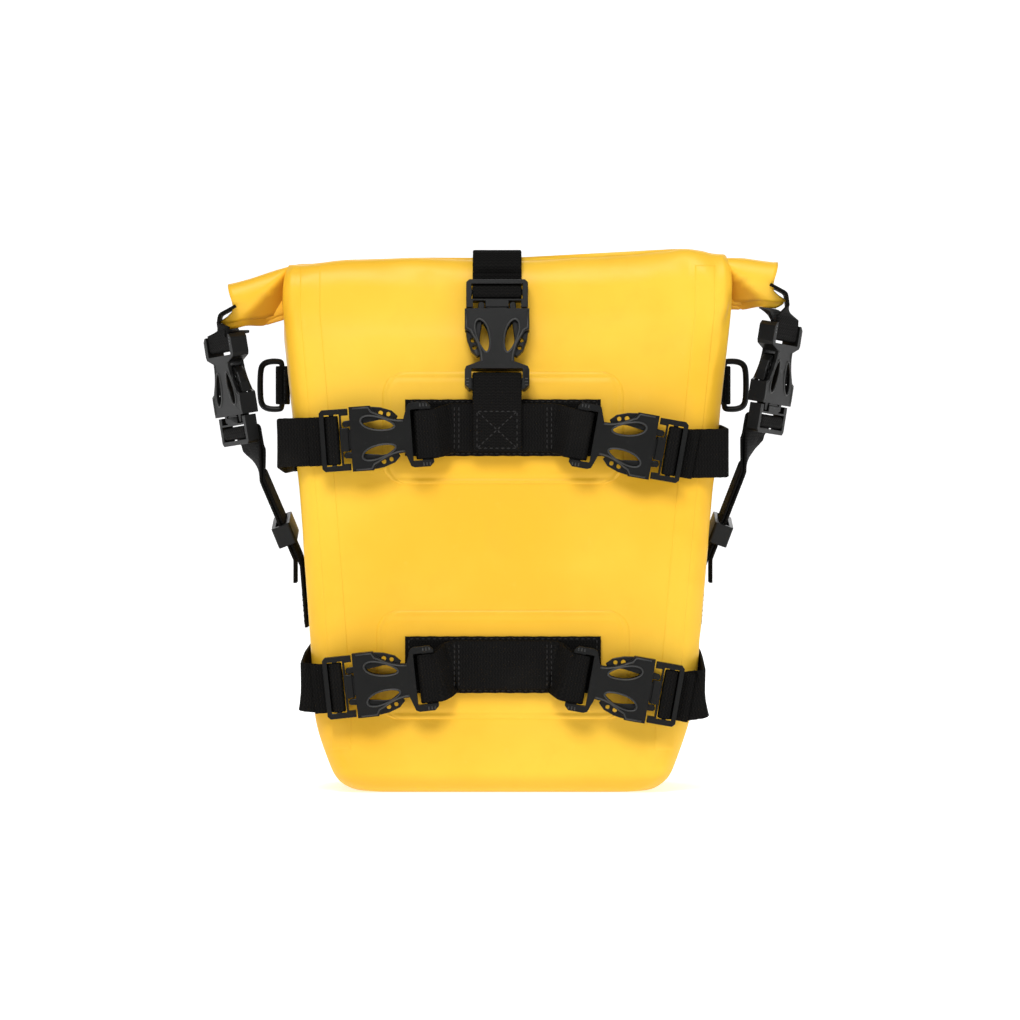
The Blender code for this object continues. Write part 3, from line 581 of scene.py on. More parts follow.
def lay(name, half_x, half_z, middle, side, corner=0.0, lean=None, border=PATCH_BORDER):
    """A welded layer on the front or back. lean gives its middle across at a height."""
    bm = bmesh.new()
    grid = []
    for v, height_v in across_layer(half_z, border):
        z = middle + v
        into = max(0.0, abs(v) - half_z + corner)
        inset = corner - math.sqrt(max(0.0, corner * corner - into * into)) if corner else 0
        line = []
        for u, height_u in across_layer(half_x, border):
            x = (lean(z) if lean else 0) + u * (1 - inset / half_x)
            line.append(bm.verts.new(on_body(x, z, side, min(height_u, height_v))))
        grid.append(line)
    skin_over(bm, grid, around=False, ends=False)
    mesh = mesh_from(bm, name)
    if mesh.polygons[0].normal.y * side < 0:
        mesh.flip_normals()
    mesh.shade_smooth()
    return add(name, mesh, TARPAULIN)


LAP_HALF = 5.4 * MM
LAP_IN = 14.0 * MM                  # middle of the lap from the bag's side
for side_name, side_x in (("left", -1), ("right", 1)):
    def lap_middle(z, side_x=side_x):
        return side_x * (half_width(max(z, 42 * MM)) - LAP_IN) + lean_right(side_x * 0.1, z)

    lap_low, lap_high = 22 * MM, ROLL_HIGH.z - 1.5 * MM
    for face_name, face, end in (("front", -1, lap_high), ("back", 1, BACK_STRAIGHT)):
        lay(f"{side_name}_{face_name}_weld", LAP_HALF, (end - lap_low) / 2, (end + lap_low) / 2, face,
            lean=lap_middle, border=LAP_BORDER)

for label in ("upper", "lower"):
    patch_low, patch_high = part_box(f"{label}_patch")
    layer = lay(f"{label}_reinforcement", (patch_high.x - patch_low.x) / 2,
                (patch_high.z - patch_low.z) / 2, (patch_low.z + patch_high.z) / 2, -1, 12 * MM)
    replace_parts(layer, f"{label}_patch")

# ------------------------------------------------------------------ rolled mouth
# The mouth is pressed flat and rolled towards the back, so its ends stand out past the bag as
# ears. Under each ear the side band is tucked in, and a strap loop pulls its lower corner out.

ROLL_HALF = ROLL_HIGH.x
ROLL_TURNS = 2.35
ROLL_SEAM = math.radians(215)       # where the outer turn starts: low on the back
ROLL_FLATNESS = 0.72                # under 1 makes the roll squarer
SHEET_THICK = 0.9 * MM
SHEET_STEP = 1.55 * MM              # from one turn of the sheet to the next
DEEPEST_TUCK = 15 * MM
EAR_START = 104 * MM


def ear_shift(x):
    """How the ear hangs at a place across: the left one droops and the right one rises."""
    out = max(0.0, min(1.0, (abs(x) - EAR_START) / (ROLL_HALF - EAR_START)))
    if x < 0:
        return -10.5 * MM * (0.75 * out + 0.25 * smooth(out))
    return 3.0 * MM * smooth(out * 3.2) - 2.4 * MM * smooth((out - 0.4) / 0.6)


def ear_reach(rise):
    """How far out the ear goes, by the height above its lower edge."""
    top = 2 * ROLL_TALL
    slant = -3.5 * MM * (1 - smooth((rise - 8 * MM) / (top - 8 * MM)))
    horn = 7.5 * MM * hump(rise - 4.2 * MM, 3.2 * MM)
    return ROLL_HALF + 0.8 * MM + slant + horn - 3 * MM * hump(rise, 2.2 * MM)


def roll_point(across, turn):
    """A point of the rolled sheet, and how much painted shade the tuck gives its colour. turn runs from
    the outside in.
    """
    side = -1 if across < 0 else 1
    angle = ROLL_SEAM - 2 * math.pi * turn
    shrink = SHEET_STEP * turn + SHEET_THICK / 2 + 0.15 * MM
    deep, tall = ROLL_DEEP - shrink, ROLL_TALL - shrink
    y = deep * flattened(math.cos(angle), ROLL_FLATNESS)
    z = tall * flattened(math.sin(angle), ROLL_FLATNESS)
    above = z + ROLL_TALL
    x = across * ear_reach(above) * (1 - 0.010 * turn)
    away = abs(x)

    # The tuck: below a slanting crease the front of the ear is pushed back, and its colour gets painted
    # shade there.
    out = max(0.0, min(1.0, (away - 110 * MM) / (ROLL_HALF - 110 * MM)))
    crease_z = ROLL_TALL * (1 - 1.75 * out ** 0.8)
    forward = (deep - y) / (2 * deep)
    tuck = min(0.95 * max(0.0, crease_z - z) + 2.5 * MM * (1 - out), DEEPEST_TUCK) * forward
    shade = smooth((crease_z - z) / (4 * MM)) * smooth(forward * 2.2)
    shade *= smooth((away - 108 * MM) / (4 * MM))
    shade *= 1 - smooth((away - 129 * MM) / (6 * MM)) * hump(above, 9 * MM)

    # The lower corner is pinched flat by its loop, and the cloth beside the bag hangs a little.
    pinch = 1 - 0.55 * hump(above - 4.5 * MM, 5.5 * MM) * smooth((away - 126 * MM) / (14 * MM))
    hang = smooth((away - 100 * MM) / (14 * MM)) - 0.65 * smooth((away - 122 * MM) / (12 * MM))
    hang *= 5.0 * MM * smooth(-z / ROLL_TALL)
    ripple = 0.5 * MM * noise.noise(Vector((x * 70, turn * 3 + side, 1.5)))
    ripple *= smooth((away - 100 * MM) / (20 * MM))
    place = Vector((x, ROLL_Y + (y + tuck) * pinch + ripple,
                    ROLL_Z + z - hang + ear_shift(x) + ripple * 0.6))
    return place, shade


def rolled_mouth():
    bm = bmesh.new()
    columns, per_turn = 150, 44
    grid, shades = [], []
    for r in range(int(ROLL_TURNS * per_turn) + 1):
        points = [roll_point(2 * c / columns - 1, r / per_turn) for c in range(columns + 1)]
        grid.append([bm.verts.new(place) for place, _ in points])
        shades += [shade for _, shade in points]
    for low, high in zip(grid, grid[1:]):
        for c in range(columns):
            bm.faces.new((low[c], high[c], high[c + 1], low[c + 1]))
    mesh = mesh_from(bm, "rolled_mouth", outwards=False)
    # The mesh carries the painted shade of the tucks, for the cloth's colour.
    mesh.attributes.new("tuck_painted_shade", "FLOAT", "POINT").data.foreach_set("value", shades)
    mesh.shade_smooth()
    piece = add("rolled_mouth", mesh, TARPAULIN)
    sheet = piece.modifiers.new("sheet", "SOLIDIFY")
    sheet.thickness = SHEET_THICK
    sheet.offset = 0
    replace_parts(piece, "rolled_collar")


rolled_mouth()

# ------------------------------------------------------------------ boards
# A stiff polyethylene board keeps the back flat, and a thin strip of the same sheet stiffens the
# mouth and is rolled up with it. Neither shows when the bag is closed.

board = Paint("board")
board_tone = board.clouds(board.place(), 60.0)
BOARD = board.surface(Base_Color=board.mix(board_tone, (0.03, 0.03, 0.03, 1), (0.06, 0.06, 0.06, 1)),
                      Roughness=0.5 + 0.2 * board_tone)
back_board = frame["nodes"]["back_board"]
back_board.data.materials.clear()
back_board.data.materials.append(BOARD)

STRIP_LOW, STRIP_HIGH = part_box("mouth_stiffener")
STRIP_SHARE = 0.72                  # cut short of the ears, which bend


def mouth_strip():
    """The strip in the middle of the roll, bent with the ears."""
    bm = bmesh.new()
    steps = 60
    rings = []
    for k in range(steps + 1):
        x = (STRIP_LOW.x + (STRIP_HIGH.x - STRIP_LOW.x) * k / steps) * STRIP_SHARE
        drop = ear_shift(x)
        rings.append([bm.verts.new((x, y, z + drop)) for y, z in (
            (STRIP_LOW.y, STRIP_LOW.z), (STRIP_HIGH.y, STRIP_LOW.z),
            (STRIP_HIGH.y, STRIP_HIGH.z), (STRIP_LOW.y, STRIP_HIGH.z))])
    skin_over(bm, rings)
    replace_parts(add("mouth_strip", mesh_from(bm, "mouth_strip"), BOARD), "mouth_stiffener")


mouth_strip()

# ------------------------------------------------------------------ webbing
# Black 25 mm polypropylene webbing, woven with cross ribs and a tight selvedge. Each length runs
# through the buckles as it is laced, and is sewn down with black thread.

WEB = 25 * MM
WEB_THICK = 1.6 * MM
GAP = 0.3 * MM
LAYER = WEB_THICK + GAP
WEB_BEND = 2.2 * MM

webbing = Paint("webbing")
along = webbing.value("along")
across = webbing.value("across")
zigzag = (across * (2 * math.pi / (2.4 * MM))).sine()
rib = (along * (2 * math.pi / (1.5 * MM)) + zigzag * 1.3).sine()
warp = (across * (2 * math.pi / (1.2 * MM))).sine()
selvedge = (across.size() - 11.0 * MM).between(0, 1.0 * MM)
fuzz = webbing.clouds(webbing.place(), 420.0, 4.0)
dust = webbing.clouds(webbing.place(), 26.0, 4.0)
lit = rib.between(-0.6, 1.0) * 0.55 + fuzz * 0.55
black = webbing.mix(lit, (0.001, 0.001, 0.001, 1), (0.0072, 0.0066, 0.0060, 1))
black = webbing.mix(dust.between(0.52, 0.8) * 0.4, black, (0.012, 0.0108, 0.0092, 1))
threads = webbing.relief(rib * 0.6 + warp * 0.4, 0.6, 0.2 * MM)
threads = webbing.relief(selvedge, 0.4, 0.3 * MM, threads)
threads = webbing.relief(fuzz, 0.25, 0.3 * MM, threads)
WEBBING = webbing.surface(Base_Color=black, Roughness=0.66 + 0.2 * fuzz, Normal=threads,
                          Specular_IOR_Level=0.09)


def fillet(corners, radius, steps=6):
    """Round the inner corners of an open path. Corners are (point, across) pairs."""
    path = [corners[0]]
    for before, here, after in zip(corners, corners[1:], corners[2:]):
        point, wide = here
        back = before[0] - point
        on = after[0] - point
        reach = min(radius, back.length * 0.28, on.length * 0.28)
        start = point + back.normalized() * reach
        end = point + on.normalized() * reach
        for step in range(steps + 1):
            t = step / steps
            path.append((start * (1 - t) ** 2 + point * 2 * t * (1 - t) + end * t ** 2, wide))
    path.append(corners[-1])
    return path


def even_path(path, spacing):
    """The path with long stretches divided, and its across direction kept on one side."""
    points = [path[0]]
    for point, wide in path[1:]:
        last, last_wide = points[-1]
        if wide.dot(last_wide) < 0:
            wide = -wide
        run = (point - last).length
        if run < 1e-7:
            continue
        count = max(1, math.ceil(run / spacing))
        for k in range(1, count + 1):
            t = k / count
            points.append((last.lerp(point, t), last_wide.lerp(wide, t)))
    return points


def web_profile(width):
    """Half-round edges and flat faces, as (across, out) pairs round the section."""
    half, thick = width / 2, WEB_THICK / 2 - 0.05 * MM
    face = [(half * share, thick) for share in (-0.72, -0.36, 0, 0.36, 0.72)]
    edge = [(half - 0.7 * MM, thick), (half - 0.2 * MM, thick * 0.7), (half, 0)]
    top = [(-a, h) for a, h in reversed(edge)] + face + edge
    return top + [(a, -h) for a, h in reversed(top[1:-1])]


def strap(name, corners, bend=WEB_BEND, width=WEB, nodes=None):
    """A length of webbing along a path, standing for its CAD node."""
    path = even_path(fillet(corners, bend), 2.2 * MM)
    profile = web_profile(width)
    bm = bmesh.new()
    rings, lengths, widths = [], [], []
    length = 0.0
    for k, (point, wide) in enumerate(path):
        ahead = path[min(k + 1, len(path) - 1)][0] - path[max(k - 1, 0)][0]
        tangent = ahead.normalized()
        wide = (wide - tangent * wide.dot(tangent)).normalized()
        out = tangent.cross(wide)
        if k:
            length += (point - path[k - 1][0]).length
        scallop = 1 + 0.006 * math.sin(length / MM * 2.1) + 0.006 * noise.noise(point * 90)
        rings.append([bm.verts.new(point + wide * a * scallop + out * h) for a, h in profile])
        lengths += [length] * len(profile)
        widths += [a for a, _ in profile]
    skin_over(bm, rings)
    mesh = mesh_from(bm, name)
    for label, values in (("along", lengths), ("across", widths)):
        mesh.attributes.new(label, "FLOAT", "POINT").data.foreach_set("value", values)
    mesh.shade_smooth()
    piece = add(name, mesh, WEBBING)
    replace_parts(piece, *(nodes or [name.removesuffix("_strap")]))
    return piece


yarn = Paint("thread")
twist = yarn.clouds(yarn.place(), 2400.0, 2.0)
THREAD = yarn.surface(Base_Color=yarn.mix(twist, (0.006, 0.006, 0.006, 1), (0.030, 0.028, 0.027, 1)),
                      Roughness=0.45 + 0.2 * twist, Specular_IOR_Level=0.25)
STITCH = 2.1 * MM
STITCH_PITCH = 2.9 * MM
STITCH_RADIUS = 0.34 * MM


def sewing(name, runs):
    """Lines of stitches. Each run is (start, end, outward direction)."""
    bm = bmesh.new()
    for start, end, out in runs:
        run = end - start
        ahead = run.normalized()
        side = ahead.cross(out)
        count = max(1, round(run.length / STITCH_PITCH))
        for k in range(count):
            middle = start + run * ((k + 0.5) / count)
            rings = []
            for place, size in ((-1, 0.35), (-0.75, 0.85), (0, 1.0), (0.75, 0.85), (1, 0.35)):
                dip = -STITCH_RADIUS * 0.9 * place * place
                centre = middle + ahead * place * STITCH / 2 + out * dip
                rings.append([bm.verts.new(centre + STITCH_RADIUS * size
                                           * (side * math.cos(turn) + out * math.sin(turn)))
                              for turn in (math.radians(60 * c) for c in range(6))])
            skin_over(bm, rings)
    mesh = mesh_from(bm, name)
    mesh.shade_smooth()
    add(name, mesh, THREAD)


def box_stitch(middle, wide, tall, out, half_wide, half_tall, cross=True):
    """A rectangle of stitches with a cross in it, as runs."""
    corner = [middle + wide * half_wide * a + tall * half_tall * b
              for a, b in ((-1, -1), (1, -1), (1, 1), (-1, 1))]
    runs = [(corner[k], corner[(k + 1) % 4], out) for k in range(4)]
    if cross:
        runs += [(corner[0], corner[2], out), (corner[1], corner[3], out)]
    return runs


# ------------------------------------------------------------------ where the buckles are
# Seven side-release buckles. A buckle's own frame has u from its male end to its female end, v
# across the webbing and w out of its face, and its latch arms' hinges say where that is.

ARM_ROOT_U = -1.9 * MM
BUCKLE_HALF = 16.5 * MM
BUCKLE_THICK = 9 * MM
FEMALE_LENGTH = 42 * MM
SLOT = WEB_THICK + 3.1 * MM
SLOT_U = FEMALE_LENGTH - 5.8 * MM - SLOT
MALE_LENGTH = 15 * MM
MALE_SLOT = WEB_THICK + 1.1 * MM
SLOT_A = -4.9 * MM
SLOT_B = SLOT_A - MALE_SLOT - 2.4 * MM
LATCH_U = 11.2 * MM
BUCKLES = ("upper_left_buckle", "upper_right_buckle", "lower_left_buckle", "lower_right_buckle",
           "top_buckle", "left_side_buckle", "right_side_buckle")
HINGES = {joint["name"]: joint for joint in frame["joints"]}


def buckle_frame(name):
    joint_a, joint_b = (HINGES[f"{name}_arm_{label}_flex"] for label in "ab")
    root_a, root_b = Vector(joint_a["pos_m"]), Vector(joint_b["pos_m"])
    w = -Vector(joint_a["axis"]).normalized()
    v = (root_a - root_b).normalized()
    u = v.cross(w).normalized()
    place = Matrix((u, w.cross(u), w)).transposed().to_4x4()
    place.translation = (root_a + root_b) / 2 - u * ARM_ROOT_U
    return place


PLACES = {name: buckle_frame(name) for name in BUCKLES}


def at(place, u, w):
    return place @ Vector((u, 0, w)), place.to_3x3() @ Vector((0, 1, 0))


LOOP_W = 2.0 * MM + GAP + WEB_THICK / 2
LOOP_U = SLOT_U + SLOT / 2
TAIL_W = -(3.2 * MM + GAP + WEB_THICK / 2)
STANDING_W = TAIL_W - WEB_THICK - GAP
OVER_BAR_W = 1.6 * MM + GAP + WEB_THICK / 2
CLIMB_A = SLOT_A - MALE_SLOT / 2
CLIMB_B = SLOT_B - MALE_SLOT / 2


def female_loop(place, legs):
    """Webbing round the bar of the female end: in on the back, out on the face."""
    return [at(place, FEMALE_LENGTH + legs, -LOOP_W), at(place, LOOP_U, -LOOP_W),
            at(place, LOOP_U, LOOP_W), at(place, FEMALE_LENGTH + legs, LOOP_W)]


def male_lace(place, tail):
    """Webbing laced through the adjuster: the tail first, the standing part last."""
    return [at(place, CLIMB_B - tail, TAIL_W), at(place, CLIMB_B, TAIL_W),
            at(place, CLIMB_B, OVER_BAR_W), at(place, CLIMB_A, OVER_BAR_W),
            at(place, CLIMB_A, STANDING_W), at(place, -MALE_LENGTH - 2 * MM, STANDING_W)]


# ------------------------------------------------------------------ front straps
# A base strip is sewn across the patch, and a shorter length on it is turned back through the
# bar of a buckle at each end. The other halves carry a strap that goes right round the bag.

UP = Vector((0, 0, 1))
RIGHT = Vector((1, 0, 0))
FRONT = Vector((0, -1, 0))
BACK = Vector((0, 1, 0))
PATCH_THICK = 0.7 * MM
BASE_HALF_WIDTH = 14.5 * MM
BASE_HALF_LENGTH = 50 * MM
SEWN_HALF = 26 * MM                 # the loops leave the base strip here
TAIL = 10 * MM                      # free end past the adjuster
END_GAP = 1 * MM                    # half the gap where the two ends of the loops meet
front_leg_y = {}                    # level of the outer leg of each pair of loops


def front_strap(label, z, wrap_z, slack):
    base_y = front_y(z - BASE_HALF_WIDTH) - PATCH_THICK - 2 * GAP - WEB_THICK / 2
    base = [(Vector((side * BASE_HALF_LENGTH, base_y, z)), UP) for side in (-1, 1)]
    strap(f"{label}_base_strip", base, width=2 * BASE_HALF_WIDTH)
    left_place, right_place = PLACES[f"{label}_left_buckle"], PLACES[f"{label}_right_buckle"]
    back_leg = base_y - LAYER
    front_leg = back_leg - LAYER
    corners = [(Vector((-x, back_leg, z)), UP) for x in (END_GAP, SEWN_HALF)]
    corners += female_loop(left_place, 2 * MM)
    corners += [(Vector((side * SEWN_HALF, front_leg, z)), UP) for side in (-1, 1)]
    corners += female_loop(right_place, 2 * MM)[::-1]
    corners += [(Vector((x, back_leg, z)), UP) for x in (SEWN_HALF, END_GAP)]
    strap(f"{label}_centre_webbing", corners)

    plane_y = base_y - WEB_THICK / 2 - GAP + STANDING_W - WEB_THICK / 2
    side_x = half_width(wrap_z + WEB / 2) + GAP + WEB_THICK / 2
    corner_y = plane_y - STANDING_W
    behind = DEPTH_HALF + 2 * GAP + WEB_THICK / 2
    laces = {-1: male_lace(left_place, TAIL), 1: male_lace(right_place, TAIL)}
    sides = {}
    for side in (-1, 1):
        turn_z = laces[side][-1][0].z * 0.85 + wrap_z * 0.15
        sides[side] = [(Vector((side * (side_x + slack), corner_y, turn_z)), UP),
                       (Vector((side * (side_x + slack * 0.4), corner_y + 24 * MM, wrap_z)), UP),
                       (Vector((side * (side_x + 1.6 * MM), behind, wrap_z)), UP)]
    corners = laces[-1] + sides[-1] + sides[1][::-1] + laces[1][::-1]
    strap(f"{label}_wrap_webbing", corners, 2 * WEB_BEND)

    strip_face = base_y - WEB_THICK / 2
    face = front_leg - WEB_THICK / 2
    runs = box_stitch(Vector((0, strip_face, z)), RIGHT, UP, FRONT, 48 * MM, 13.2 * MM, False)
    for side in (-1, 1):
        for x in (side * 22.5 * MM, side * 24.8 * MM):
            runs.append((Vector((x, face, z - 11 * MM)), Vector((x, face, z + 11 * MM)), FRONT))
    sewing(f"{label}_strap_thread", runs)
    front_leg_y[label] = front_leg


front_strap("upper", UPPER_Z, UPPER_WRAP_Z, 5.5 * MM)
front_strap("lower", LOWER_Z, LOWER_WRAP_Z, 2.5 * MM)

# ------------------------------------------------------------------ top strap
# One strap comes up the back, over the roll and down into the top buckle. The other half hangs
# in a doubled strap that is sewn to the middle of the upper front strap with a crossed box.

TOP_X = -3 * MM
top_place = PLACES["top_buckle"]
anchor_foot = UPPER_Z - 12 * MM
shelf = UPPER_Z + BASE_HALF_WIDTH + 1 * MM
anchor_back = front_leg_y["upper"] - LAYER
anchor_face = anchor_back - LAYER
corners = [(Vector((TOP_X, anchor_back, z)), RIGHT) for z in (anchor_foot, shelf)]
corners += female_loop(top_place, 0.5 * MM)
corners += [(Vector((TOP_X, anchor_face, z)), RIGHT) for z in (shelf, anchor_foot)]
strap("anchor_webbing", corners)
anchor_middle = Vector((TOP_X, anchor_face - WEB_THICK / 2, UPPER_Z - 1 * MM))
sewing("anchor_thread", box_stitch(anchor_middle, RIGHT, UP, FRONT, 10.2 * MM, 9.4 * MM))


def back_level(z, depth):
    """Level place of something a depth outside the sloping back."""
    step = (BAG_HEIGHT - BACK_STRAIGHT) / 7
    slope = (back_y(z + step / 2) - back_y(z - step / 2)) / step
    return back_y(z) + depth * math.sqrt(1 + slope * slope)


over = ROLL_HIGH.z + 5.6 * MM
ahead_y = ROLL_LOW.y - 4 * MM
rear_y = ROLL_HIGH.y + 3 * MM
clear = GAP + WEB_THICK / 2 + 0.6 * MM
corners = male_lace(top_place, 12 * MM)
corners += [(Vector((TOP_X, y, z)), RIGHT) for y, z in (
    (ahead_y, over - 7 * MM), (ahead_y + 6 * MM, over), (rear_y - 5 * MM, over - 1 * MM),
    (rear_y, ROLL_Z + 2 * MM))]
for k in range(6, 0, -1):
    z = BACK_STRAIGHT + (BAG_HEIGHT - BACK_STRAIGHT) * k / 7
    corners.append((Vector((TOP_X, back_level(z, clear + 0.4 * MM), z)), RIGHT))
back_face = DEPTH_HALF + clear
strap_end = UPPER_WRAP_Z + WEB / 2 + 2 * MM
corners += [(Vector((TOP_X, back_face, BACK_STRAIGHT - 1 * MM)), RIGHT),
            (Vector((TOP_X, back_face, strap_end)), RIGHT)]
strap("top_webbing", corners)
sewn_rows = [[Vector((TOP_X + side * 10 * MM, back_face + WEB_THICK / 2, strap_end + row * MM))
              for side in (-1, 1)] for row in (1.2, 3.4)]
sewing("top_strap_thread", [(start, end, BACK) for start, end in sewn_rows])

# ------------------------------------------------------------------ back keepers
# Two upright strips of the same webbing, sewn to the back in the middle and at the foot. The
# straps that go round the bag run under them, so that they can't slip down.

KEEPER_OUT = 55 * MM                # from the middle of the back
for label, keeper_x in (("left", -KEEPER_OUT), ("right", KEEPER_OUT)):
    near = DEPTH_HALF + GAP + WEB_THICK / 2
    far = near + LAYER + 2 * GAP
    reach = WEB / 2 + 6 * MM
    corners = [(Vector((keeper_x, near, LOWER_WRAP_Z - reach - 12 * MM)), RIGHT)]
    for z in (LOWER_WRAP_Z, UPPER_WRAP_Z):
        for y, lift in ((near, -reach), (far, -WEB / 2 - 1 * MM), (far, WEB / 2 + 1 * MM), (near, reach)):
            corners.append((Vector((keeper_x, y, z + lift)), RIGHT))
    strap(f"{label}_back_keeper", corners)
    face_y = near + WEB_THICK / 2
    low_box = Vector((keeper_x, face_y, LOWER_WRAP_Z - reach - 6 * MM))
    middle_box = Vector((keeper_x, face_y, (LOWER_WRAP_Z + UPPER_WRAP_Z) / 2))
    runs = box_stitch(low_box, RIGHT, UP, BACK, 9.5 * MM, 4.5 * MM)
    runs += box_stitch(middle_box, RIGHT, UP, BACK, 9.5 * MM, 12 * MM)
    sewing(f"{label}_keeper_thread", runs)

# ------------------------------------------------------------------ side straps
# A loop sewn round the lower corner of each ear holds a buckle. The strap from it goes down to
# the side, where it is sewn, and its tail lies back along it under a sliding keeper.

SIDE_SEWN_LENGTH = 34 * MM
for label, side in (("left", -1), ("right", 1)):
    place = PLACES[f"{label}_side_buckle"]
    inward = Vector((0, -side, 0))
    foot_z = ROLL_Z - ROLL_TALL + ear_shift(side * ROLL_HALF)
    tip_x = ear_reach(5.5 * MM) + 0.5 * MM

    def by_ear(x, z, side=side, foot_z=foot_z, inward=inward):
        return Vector((side * x, ROLL_Y, foot_z + z)), inward

    loop = female_loop(place, 1 * MM)
    corners = [by_ear(ROLL_HALF - 6.5 * MM, -1 * MM)] + loop
    corners += [by_ear(tip_x + 1 * MM, 1.6 * MM), by_ear(tip_x + 0.2 * MM, 7.5 * MM),
                by_ear(ROLL_HALF - 4 * MM, 12 * MM)]
    strap(f"{label}_ear_loop", corners)

    off_side = GAP + WEB_THICK / 2 + 0.3 * MM
    leave, foot = (Vector((side * (half_width(z) + off_side), SIDE_SEWN_Y, z))
                   for z in (SIDE_SEWN_Z, SIDE_SEWN_Z - SIDE_SEWN_LENGTH))
    lace = male_lace(place, 8 * MM)
    standing_end = lace[-1][0]
    run = (standing_end - leave).normalized()
    face = Vector((side, 0, 0))
    out = (face - run * face.dot(run)).normalized()
    middle = leave + (standing_end - leave) * 0.72
    tail_end = leave + run * 4 * MM + out * LAYER
    square = run.cross(out)
    corners = [(tail_end - UP * 14 * MM, inward), (tail_end, square), (middle + out * LAYER, square)]
    corners += lace[1:] + [(middle, square), (leave, square), (foot, inward)]
    strap(f"{label}_side_webbing", corners)
    down = (foot - leave).normalized()
    sewn_middle = (leave + foot) / 2 + face * WEB_THICK / 2 + down * 7 * MM
    sewing(f"{label}_side_thread", box_stitch(sewn_middle, BACK, down, face, 9.5 * MM, 8 * MM))

# ------------------------------------------------------------------ rings on the sides
# An oval acetal ring on each side, to clip a shoulder strap to. It hangs in a short 20 mm strip of
# webbing that is sewn down on both sides of it.

TAB_WEB = 20 * MM
RING_WIRE = 3.6 * MM
for label, side in (("left", -1), ("right", 1)):
    pivot = Vector(HINGES[f"{label}_ring_swing"]["pos_m"])
    wrap = RING_WIRE / 2 + GAP + WEB_THICK / 2
    near = side * (half_width(pivot.z + TAB_WEB / 2) + GAP + WEB_THICK / 2)
    flats = (16 * MM, wrap + 2.4 * MM)
    corners = [(Vector((near, pivot.y + y, pivot.z)), UP) for y in flats]
    for k in range(13):
        angle = math.radians(100 - 200 * k / 12)
        corners.append((Vector((pivot.x + side * wrap * math.cos(angle),
                                pivot.y + wrap * math.sin(angle), pivot.z)), UP))
    corners += [(Vector((near, pivot.y - y, pivot.z)), UP) for y in reversed(flats)]
    strap(f"{label}_ring_tab", corners, 0.3 * MM, TAB_WEB)
    face = Vector((side, 0, 0))
    runs = []
    for wing in (-1, 1):
        middle = Vector((near, pivot.y + wing * 11 * MM, pivot.z)) + face * WEB_THICK / 2
        runs += box_stitch(middle, BACK, UP, face, 3.6 * MM, 7.5 * MM)
    sewing(f"{label}_tab_thread", runs)

# ------------------------------------------------------------------ buckles, rings and keepers
# Moulded acetal, black with a fine spark grain, its edges just rounded by the mould. The face of
# each female half has a raised bead round its openings and down its edges, painted lighter grey as a
# painted highlight.

acetal = Paint("acetal")
grain = acetal.clouds(acetal.place(), 1500.0, 2.0)
sheen = acetal.clouds(acetal.place(), 45.0, 4.0)
rub = acetal.clouds(acetal.place(), 260.0, 4.0, 0.7).between(0.6, 0.78)
dark = acetal.mix(sheen, (0.0022, 0.0022, 0.0022, 1), (0.0062, 0.0064, 0.0060, 1))
dark = acetal.mix(rub * 0.3, dark, (0.028, 0.028, 0.027, 1))
pits = acetal.relief(grain, 0.28, 0.06 * MM)
pits = acetal.relief(sheen, 0.10, 0.4 * MM, pits)
ACETAL = acetal.surface(Base_Color=dark, Roughness=0.28 + 0.16 * sheen + 0.12 * rub, Normal=pits,
                        IOR=1.48, Specular_IOR_Level=0.22)

# Painted highlight: the beads and grip ribs are painted lighter grey where they catch the light, varied
# by a random tone.
highlight_paint = Paint("acetal_painted_highlight")
highlight_tone = highlight_paint.clouds(highlight_paint.place(), 90.0, 4.0)
painted_highlight = highlight_paint.mix(highlight_tone, (0.014, 0.014, 0.014, 1), (0.042, 0.043, 0.041, 1))
BEAD_PAINTED_HIGHLIGHT = highlight_paint.surface(Base_Color=painted_highlight, Roughness=0.32 + 0.18 * highlight_tone, IOR=1.48,
                         Normal=highlight_paint.relief(highlight_tone, 0.2, 0.1 * MM))


def moulded(node_name, edge, rounds=0):
    """The CAD node with rounded edges and the moulded finish."""
    node = frame["nodes"][node_name]
    node.data.materials.clear()
    node.data.materials.append(ACETAL)
    weld = node.modifiers.new("weld", "WELD")
    weld.merge_threshold = 0.01 * MM
    if rounds:
        ease = node.modifiers.new("ease", "SUBSURF")
        ease.levels = ease.render_levels = rounds
    else:
        bevel = node.modifiers.new("edges", "BEVEL")
        bevel.width = edge
        bevel.segments = 2
        bevel.limit_method = "ANGLE"
        bevel.angle_limit = math.radians(32)
        bevel.harden_normals = False


def teardrop(side, grow):
    """Outline of the opening over a latch arm, in the buckle's frame."""
    points = []
    for k in range(24):
        angle = 2 * math.pi * k / 24
        forward = (8.2 * MM + grow) * math.cos(angle)
        wide = (3.0 - 0.7 * math.cos(angle)) * MM + grow
        points.append((14.5 * MM + forward, side * (7.2 * MM - 0.22 * forward + wide * math.sin(angle))))
    return points


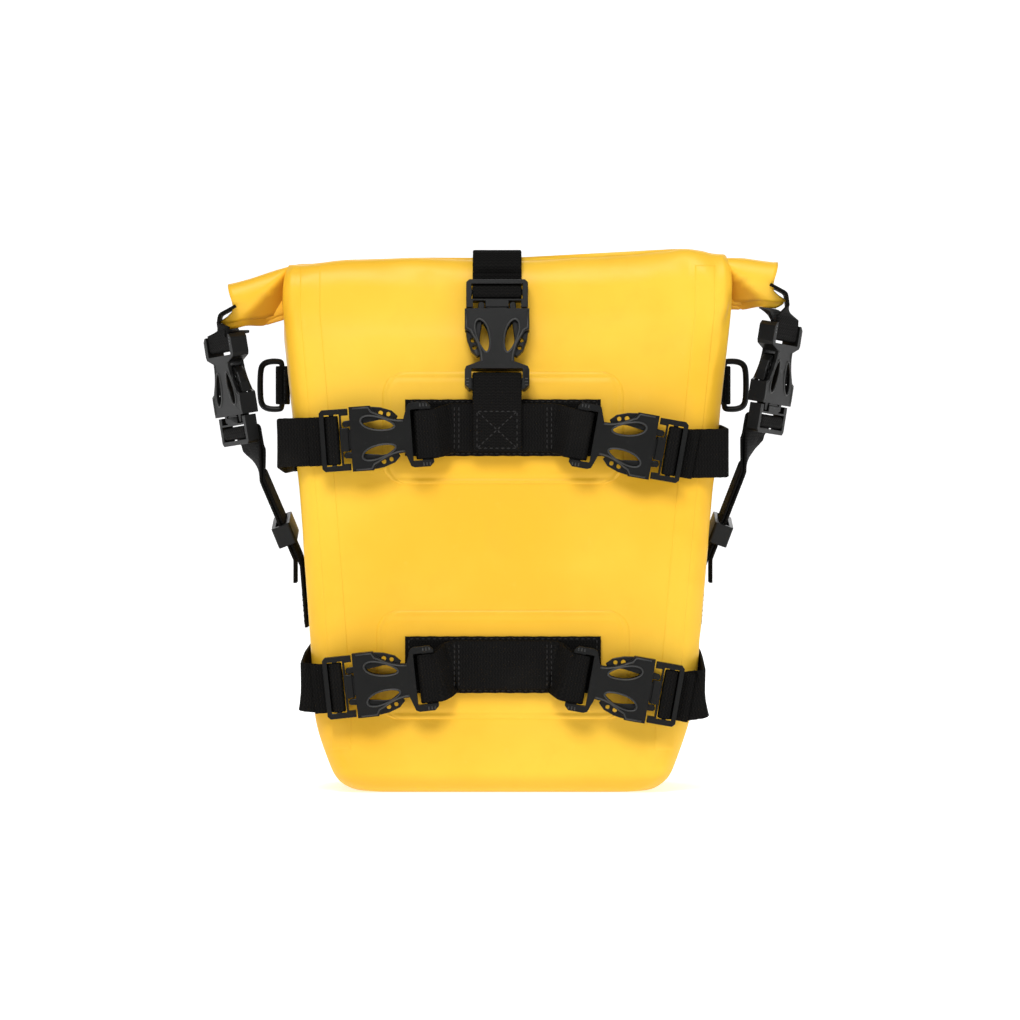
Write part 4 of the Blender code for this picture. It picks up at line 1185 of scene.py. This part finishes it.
def plate_edge(side, inset):
    """Outer edge of the face plate, from the mouth to the waist."""
    points = [(2.2 * MM, BUCKLE_HALF), (LATCH_U - 1.0 * MM, BUCKLE_HALF),
              (LATCH_U + 0.4 * MM, BUCKLE_HALF - 2.4 * MM)]
    for k in range(1, 11):
        t = k / 10
        points.append((LATCH_U + 1.2 * MM + (SLOT_U - 5 * MM - LATCH_U) * t,
                       8.6 * MM + (BUCKLE_HALF - 11 * MM) * (1 - t) ** 2))
    return [(u, side * (v - inset)) for u, v in points]


# Half of a round, as shares of the bead's half width and height, with its foot sunk in the face.
BEAD_PROFILE = ((-1, -0.4), (-0.85, 0.35), (-0.4, 0.85), (0, 1), (0.4, 0.85), (0.85, 0.35), (1, -0.4))


def bead(bm, place, line, closed, w, face, half, high):
    """A half-round ridge along a line on a face of a buckle."""
    count = len(line)
    rings = []
    for k, (u, v) in enumerate(line):
        before = line[k - 1] if closed or k else line[k]
        after = line[(k + 1) % count] if closed or k < count - 1 else line[k]
        ahead = Vector((after[0] - before[0], after[1] - before[1], 0)).normalized()
        wide = ahead.cross(Vector((0, 0, 1)))
        rings.append([bm.verts.new(place @ (Vector((u, v, w)) + wide * a * half
                                            + Vector((0, 0, face * h * high))))
                      for a, h in BEAD_PROFILE])
    skin_over(bm, rings + rings[:1] if closed else rings, ends=not closed)


BEAD_HALF = 0.5 * MM
BEAD_HIGH = 0.45 * MM
for name in BUCKLES:
    for half_name in ("female", "male", "arm_a", "arm_b"):
        moulded(f"{name}_{half_name}", 0.3 * MM if half_name.startswith("arm") else 0.4 * MM)
    bm = bmesh.new()
    for side in (-1, 1):
        for face in (-1, 1):
            w = face * BUCKLE_THICK / 2
            bead(bm, PLACES[name], teardrop(side, 0.45 * MM), True, w, face, BEAD_HALF, BEAD_HIGH)
            bead(bm, PLACES[name], plate_edge(side, 0.9 * MM), False, w, face, BEAD_HALF, BEAD_HIGH)
    for k in range(3):      # grip ribs beside the bar
        u = FEMALE_LENGTH - (5.2 - 1.6 * k) * MM
        for side in (-1, 1):
            line = [(u, side * v * MM) for v in (14.2, 15.0, 15.9)]
            bead(bm, PLACES[name], line, False, BUCKLE_THICK / 2, 1, 0.35 * MM, 0.25 * MM)
    mesh = mesh_from(bm, f"{name}_beads")
    mesh.shade_smooth()
    add(f"{name}_beads", mesh, BEAD_PAINTED_HIGHLIGHT)

for label in ("left", "right"):
    moulded(f"{label}_slider", 0.5 * MM)
    moulded(f"{label}_ring", 0, rounds=2)
